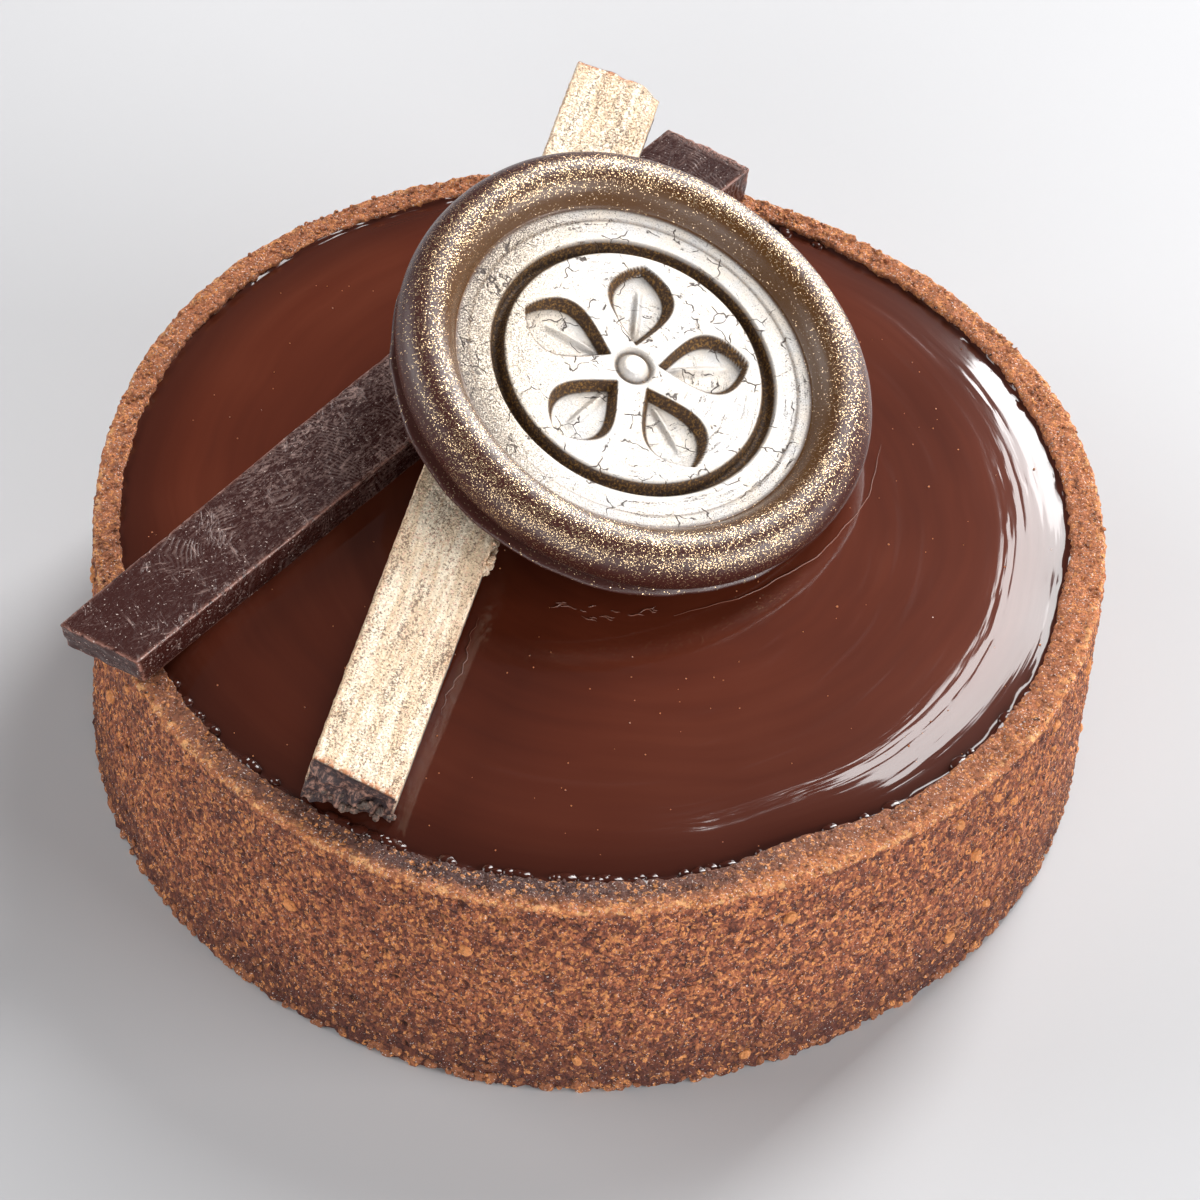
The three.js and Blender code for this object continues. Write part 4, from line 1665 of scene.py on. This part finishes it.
        # Recess walls that the material paints in shade: the ring groove, petal flanks, collar and step.
        ditch = (1 - smoothstep(0.50 * MM, 0.64 * MM, gap)) * on_face
        flank = smoothstep(-0.10 * MM, 0.06 * MM, inside)
        flank = flank * (1 - smoothstep(self.petal_slope, self.petal_slope + 0.18 * MM, inside))
        wall = np.clip(ditch + flank * on_face + collar * 0.9, 0, 1)
        wall = np.maximum(wall, on_face * 0.7 * bell(radius - self.step_radius, 0.1 * MM))
        face = on_face * (1 - smoothstep(13.55 * MM, 13.85 * MM, radius))
        Bench.mark(piece, seal=local / MM, face=face, wall=wall)
        Bench.smooth(piece, 70)
        settle(piece, BronzedSeal(), Slot.BRONZE, "seal")
        return piece


@dataclass
class GlazeDetails:
    """What shows on the glaze: beads along its edge, fine creases, specks of dust.

    beads lists from and to which angle in degrees they lie, and how many.
    """

    shell: ShellMeasure
    filling: Filling
    seal: SealMeasure
    stick: BarMeasure
    beads: tuple[tuple[int, int, int], ...] = (
        (-120, -74, 36),
        (-150, -120, 12),
        (60, 75, 4),
        (-74, -20, 10),
    )
    bead_height: float = 0.38 * MM
    wrinkles: int = 15
    thread: float = 0.055 * MM
    specks: int = 230
    dust_reach: float = 34.5 * MM
    seed: int = 31

    def _on_glaze(self, x: float, y: float, above: float = 0.0) -> Vector:
        """Point of the glaze at a place, raised a little."""
        angle = np.array([math.atan2(y, x)])
        inset = self.shell.bore_radius(angle) - math.hypot(x, y)
        return Vector((x, y, float(self.filling.height(inset)[0]) + above))

    def build_beads(self) -> Piece:
        """Beads of glaze where it wets the grains of the crust's edge."""
        draw = random.Random(self.seed)
        places = []
        for low, high, count in self.beads:
            for _ in range(count):
                turn = math.radians(draw.uniform(low, high))
                bore = float(self.shell.bore_radius(np.array([turn]))[0])
                radius = bore - draw.uniform(0.10, 0.36) * MM
                spot = self._on_glaze(radius * math.cos(turn), radius * math.sin(turn), 0.02 * MM)
                around = Matrix.Rotation(turn, 4, "Z")
                wide = draw.uniform(0.50, 0.85) * MM
                grow = Matrix.Diagonal((wide, wide * draw.uniform(0.9, 1.7), self.bead_height, 1.0))
                places.append(Matrix.Translation(spot) @ around @ grow)
        piece = Bench.joined("glaze_beads", [Bench.pebble(seed, 0.02) for seed in (21, 22)], places)
        Bench.smooth(piece, 180)
        settle(piece, MirrorGlaze("bead_glaze"), Slot.GLAZE)
        return piece

    def build_creases(self) -> Piece:
        """Fine raised creases: one round the seal's low side, wrinkles and a drawn line."""
        draw = random.Random(self.seed + 1)
        runs = []
        crease = []
        for degrees in range(-74, 3, 2):
            turn = math.radians(degrees)
            out = 18.75 + 1.2 * smoothstep(-62, 0, np.array([float(degrees)]))[0]
            out += 0.10 * math.sin(degrees * 0.31) + 0.05 * math.sin(degrees * 0.83)
            local = np.array([[out * MM * math.cos(turn), out * MM * math.sin(turn), 0.0]])
            x, y, _ = self.seal.world(local)[0]
            x += MM * self.seal.normal[0]
            y += MM * self.seal.normal[1]
            crease.append(self._on_glaze(x, y, 0.015 * MM))
        runs.append(crease)
        for _ in range(self.wrinkles):
            turn = math.radians(draw.uniform(-103, -78))
            out = draw.uniform(18.0, 19.0) * MM
            x, y, _ = self.seal.world(np.array([[out * math.cos(turn), out * math.sin(turn), 0.0]]))[0]
            heading = draw.uniform(-0.5, 0.6)
            length = draw.uniform(0.5, 1.5) * MM
            run = []
            for step in range(7):
                bend = heading + math.sin(step * 1.3 + turn * 40) * 0.4
                x += length / 6 * math.cos(bend)
                y += length / 6 * math.sin(bend)
                run.append(self._on_glaze(x, y, 0.02 * MM))
            runs.append(run)
        drawn = []
        for step in range(22):
            along = (10.5 + step * 0.47) * MM
            across = (-4.05 + 0.2 * math.sin(step * 0.45) + 0.12 * math.sin(step * 1.9)) * MM
            place = self.stick.world(np.array([[along, across, 0.0]]))[0]
            drawn.append(self._on_glaze(place[0], place[1], 0.005 * MM))
        runs.append(drawn)
        piece = Bench.thread("glaze_creases", runs, self.thread)
        Bench.smooth(piece, 180)
        Bench.mark(piece, inset=np.full(len(Bench.points(piece)), 20.0))
        finish = MirrorGlaze("crease_glaze", body=(0.19, 0.075, 0.05), deep=(0.14, 0.05, 0.03))
        settle(piece, finish, Slot.GLAZE)
        return piece

    def build_dust(self) -> Piece:
        """Specks of crumb dust and pin bubbles that lie on the glaze."""
        draw = random.Random(self.seed + 2)
        places = []
        for _ in range(self.specks):
            turn = draw.uniform(-math.pi, math.pi)
            radius = self.dust_reach * math.sqrt(draw.uniform(0.0, 1.0))
            spot = self._on_glaze(radius * math.cos(turn), radius * math.sin(turn), 0.01 * MM)
            size = draw.uniform(0.05, 0.10) * MM * (1.5 if draw.random() < 0.08 else 1.0)
            turned = Matrix.Rotation(draw.uniform(0, math.tau), 4, "Z")
            places.append(Matrix.Translation(spot) @ turned @ Matrix.Diagonal((size, size, size, 1.0)))
        piece = Bench.joined("glaze_dust", [Bench.pebble(41)], places)
        Bench.mark(piece, rim=np.ones(len(Bench.points(piece))))
        finish = BakedCrust("dust_crust", deep=(0.20, 0.08, 0.04), brown=(0.30, 0.12, 0.06))
        settle(piece, finish, Slot.GLAZE)
        return piece


@dataclass
class Studio:
    """Pale floor, soft lights and the camera.

    fills lists the name, direction, direction of the longer side, size and
    brightness of each fill light. Angles of the camera are in degrees.
    """

    key_towards: tuple[float, float, float] = (0.412, 0.681, 0.605)
    key_long: tuple[float, float, float] = (-0.396, -0.465, 0.792)
    key_distance: float = 0.75
    key_lengths: Point = (0.336, 0.540)
    key_width: float = 0.235
    key_radiance: Point = (12.0, 18.0)
    tip_size: Point = (0.18, 0.05)
    tip_slide: float = -0.115
    fill_distance: float = 1.2
    fills: tuple[tuple, ...] = (
        ("front_fill", (-0.15, -0.92, 0.28), (1, 0, 0), (1.3, 0.6), 4.2),
        ("right_fill", (0.92, -0.30, 0.34), (0, 1, 0), (0.9, 0.5), 10.5),
        ("left_fill", (-0.90, 0.12, 0.50), (0, 1, 0), (0.8, 0.5), 6.2),
    )
    world: float = 0.10
    world_tint: tuple[float, float, float, float] = (0.96, 0.97, 1.0, 1.0)
    floor_radius: float = 2.5
    camera_place: tuple[float, float, float] = (0.0, -0.312819, 0.359500)
    camera_rise: float = 48.02
    camera_heading: float = -0.136
    camera_roll: float = 4.6
    camera_lens: float = 186.1
    camera_sensor: float = 36.0

    def floor(self) -> None:
        """Lays a wide pale floor at the height that the crust stands on."""
        Bench.clear()
        bpy.ops.mesh.primitive_circle_add(vertices=96, radius=self.floor_radius, fill_type="NGON")
        floor = bpy.context.object
        floor.name = "studio_floor"
        floor.data.materials.append(PlainStudio().material())

    @staticmethod
    def _panel(
        name: str,
        towards: Sequence[float],
        long_way: Sequence[float],
        distance: float,
        size: Point,
        radiance: float,
        slide: Point = (0.0, 0.0),
    ) -> None:
        """Hangs a rectangular soft light.

        Args:
            name: its name.
            towards: direction to it.
            long_way: direction of its longer side.
            distance: distance to it in metres.
            size: longer and shorter side in metres.
            radiance: brightness of its face.
            slide: how far it is moved along its longer side and across it.
        """
        data = bpy.data.lights.new(name, "AREA")
        data.shape = "RECTANGLE"
        data.size, data.size_y = size
        data.energy = radiance * math.pi * size[0] * size[1]
        away = Vector(towards).normalized()
        side = Vector(long_way)
        side = (side - away * side.dot(away)).normalized()
        across = away.cross(side)
        lamp = bpy.data.objects.new(name, data)
        turn = Matrix((side, across, away)).transposed().to_4x4()
        place = away * distance + side * slide[0] + across * slide[1]
        lamp.matrix_world = Matrix.Translation(place) @ turn
        bpy.context.scene.collection.objects.link(lamp)

    def lights(self) -> None:
        """Hangs the lights, the key light in three panels, and a dim surrounding."""
        upper, lower = self.key_lengths
        wide = self.key_width
        beside = -(wide + self.tip_size[1]) / 2
        keys = (
            ("key_upper", (upper, wide), self.key_radiance[0], (upper / 2, 0.0)),
            ("key_lower", (lower, wide), self.key_radiance[1], (-lower / 2, 0.0)),
            ("key_tip", self.tip_size, self.key_radiance[1], (self.tip_slide, beside)),
        )
        for name, size, radiance, slide in keys:
            place = (self.key_towards, self.key_long, self.key_distance)
            self._panel(name, *place, size, radiance, slide)
        for name, towards, long_way, size, radiance in self.fills:
            self._panel(name, towards, long_way, self.fill_distance, size, radiance)
        world = bpy.data.worlds.new("studio")
        world.use_nodes = True
        background = world.node_tree.nodes["Background"]
        background.inputs["Color"].default_value = self.world_tint
        background.inputs["Strength"].default_value = self.world
        bpy.context.scene.world = world

    def camera(self) -> None:
        """Sets the camera, which looks down on the tart with a long lens."""
        data = bpy.data.cameras.new("camera")
        data.lens = self.camera_lens
        data.sensor_width = self.camera_sensor
        camera = bpy.data.objects.new("camera", data)
        turn = (
            Matrix.Rotation(math.radians(self.camera_heading), 4, "Z")
            @ Matrix.Rotation(math.radians(90 - self.camera_rise), 4, "X")
            @ Matrix.Rotation(math.radians(self.camera_roll), 4, "Z")
        )
        camera.matrix_world = Matrix.Translation(self.camera_place) @ turn
        bpy.context.scene.collection.objects.link(camera)
        bpy.context.scene.camera = camera
        bpy.context.scene.view_settings.view_transform = "Standard"

    def build(self) -> None:
        """Sets up the whole studio."""
        self.floor()
        self.lights()
        self.camera()


def main() -> None:
    """Builds every piece in order and reports it."""
    logging.basicConfig(level=logging.INFO, format="%(name)s %(message)s")
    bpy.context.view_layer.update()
    Studio().build()
    shell = ShellMeasure()
    Crust(shell).build()
    Crumbs(shell).on_crust()
    filling = Filling(shell)
    filling.build()
    DarkStick(BarMeasure("dark_stick")).build()
    gold = BarMeasure("gold_stick")
    GoldStick(gold).build()
    GoldStick(gold).build_lumps()
    seal = SealMeasure()
    Seal(seal).build()
    details = GlazeDetails(shell, filling, seal, gold)
    details.build_beads()
    details.build_creases()
    details.build_dust()


if __name__ == "__main__":
    main()
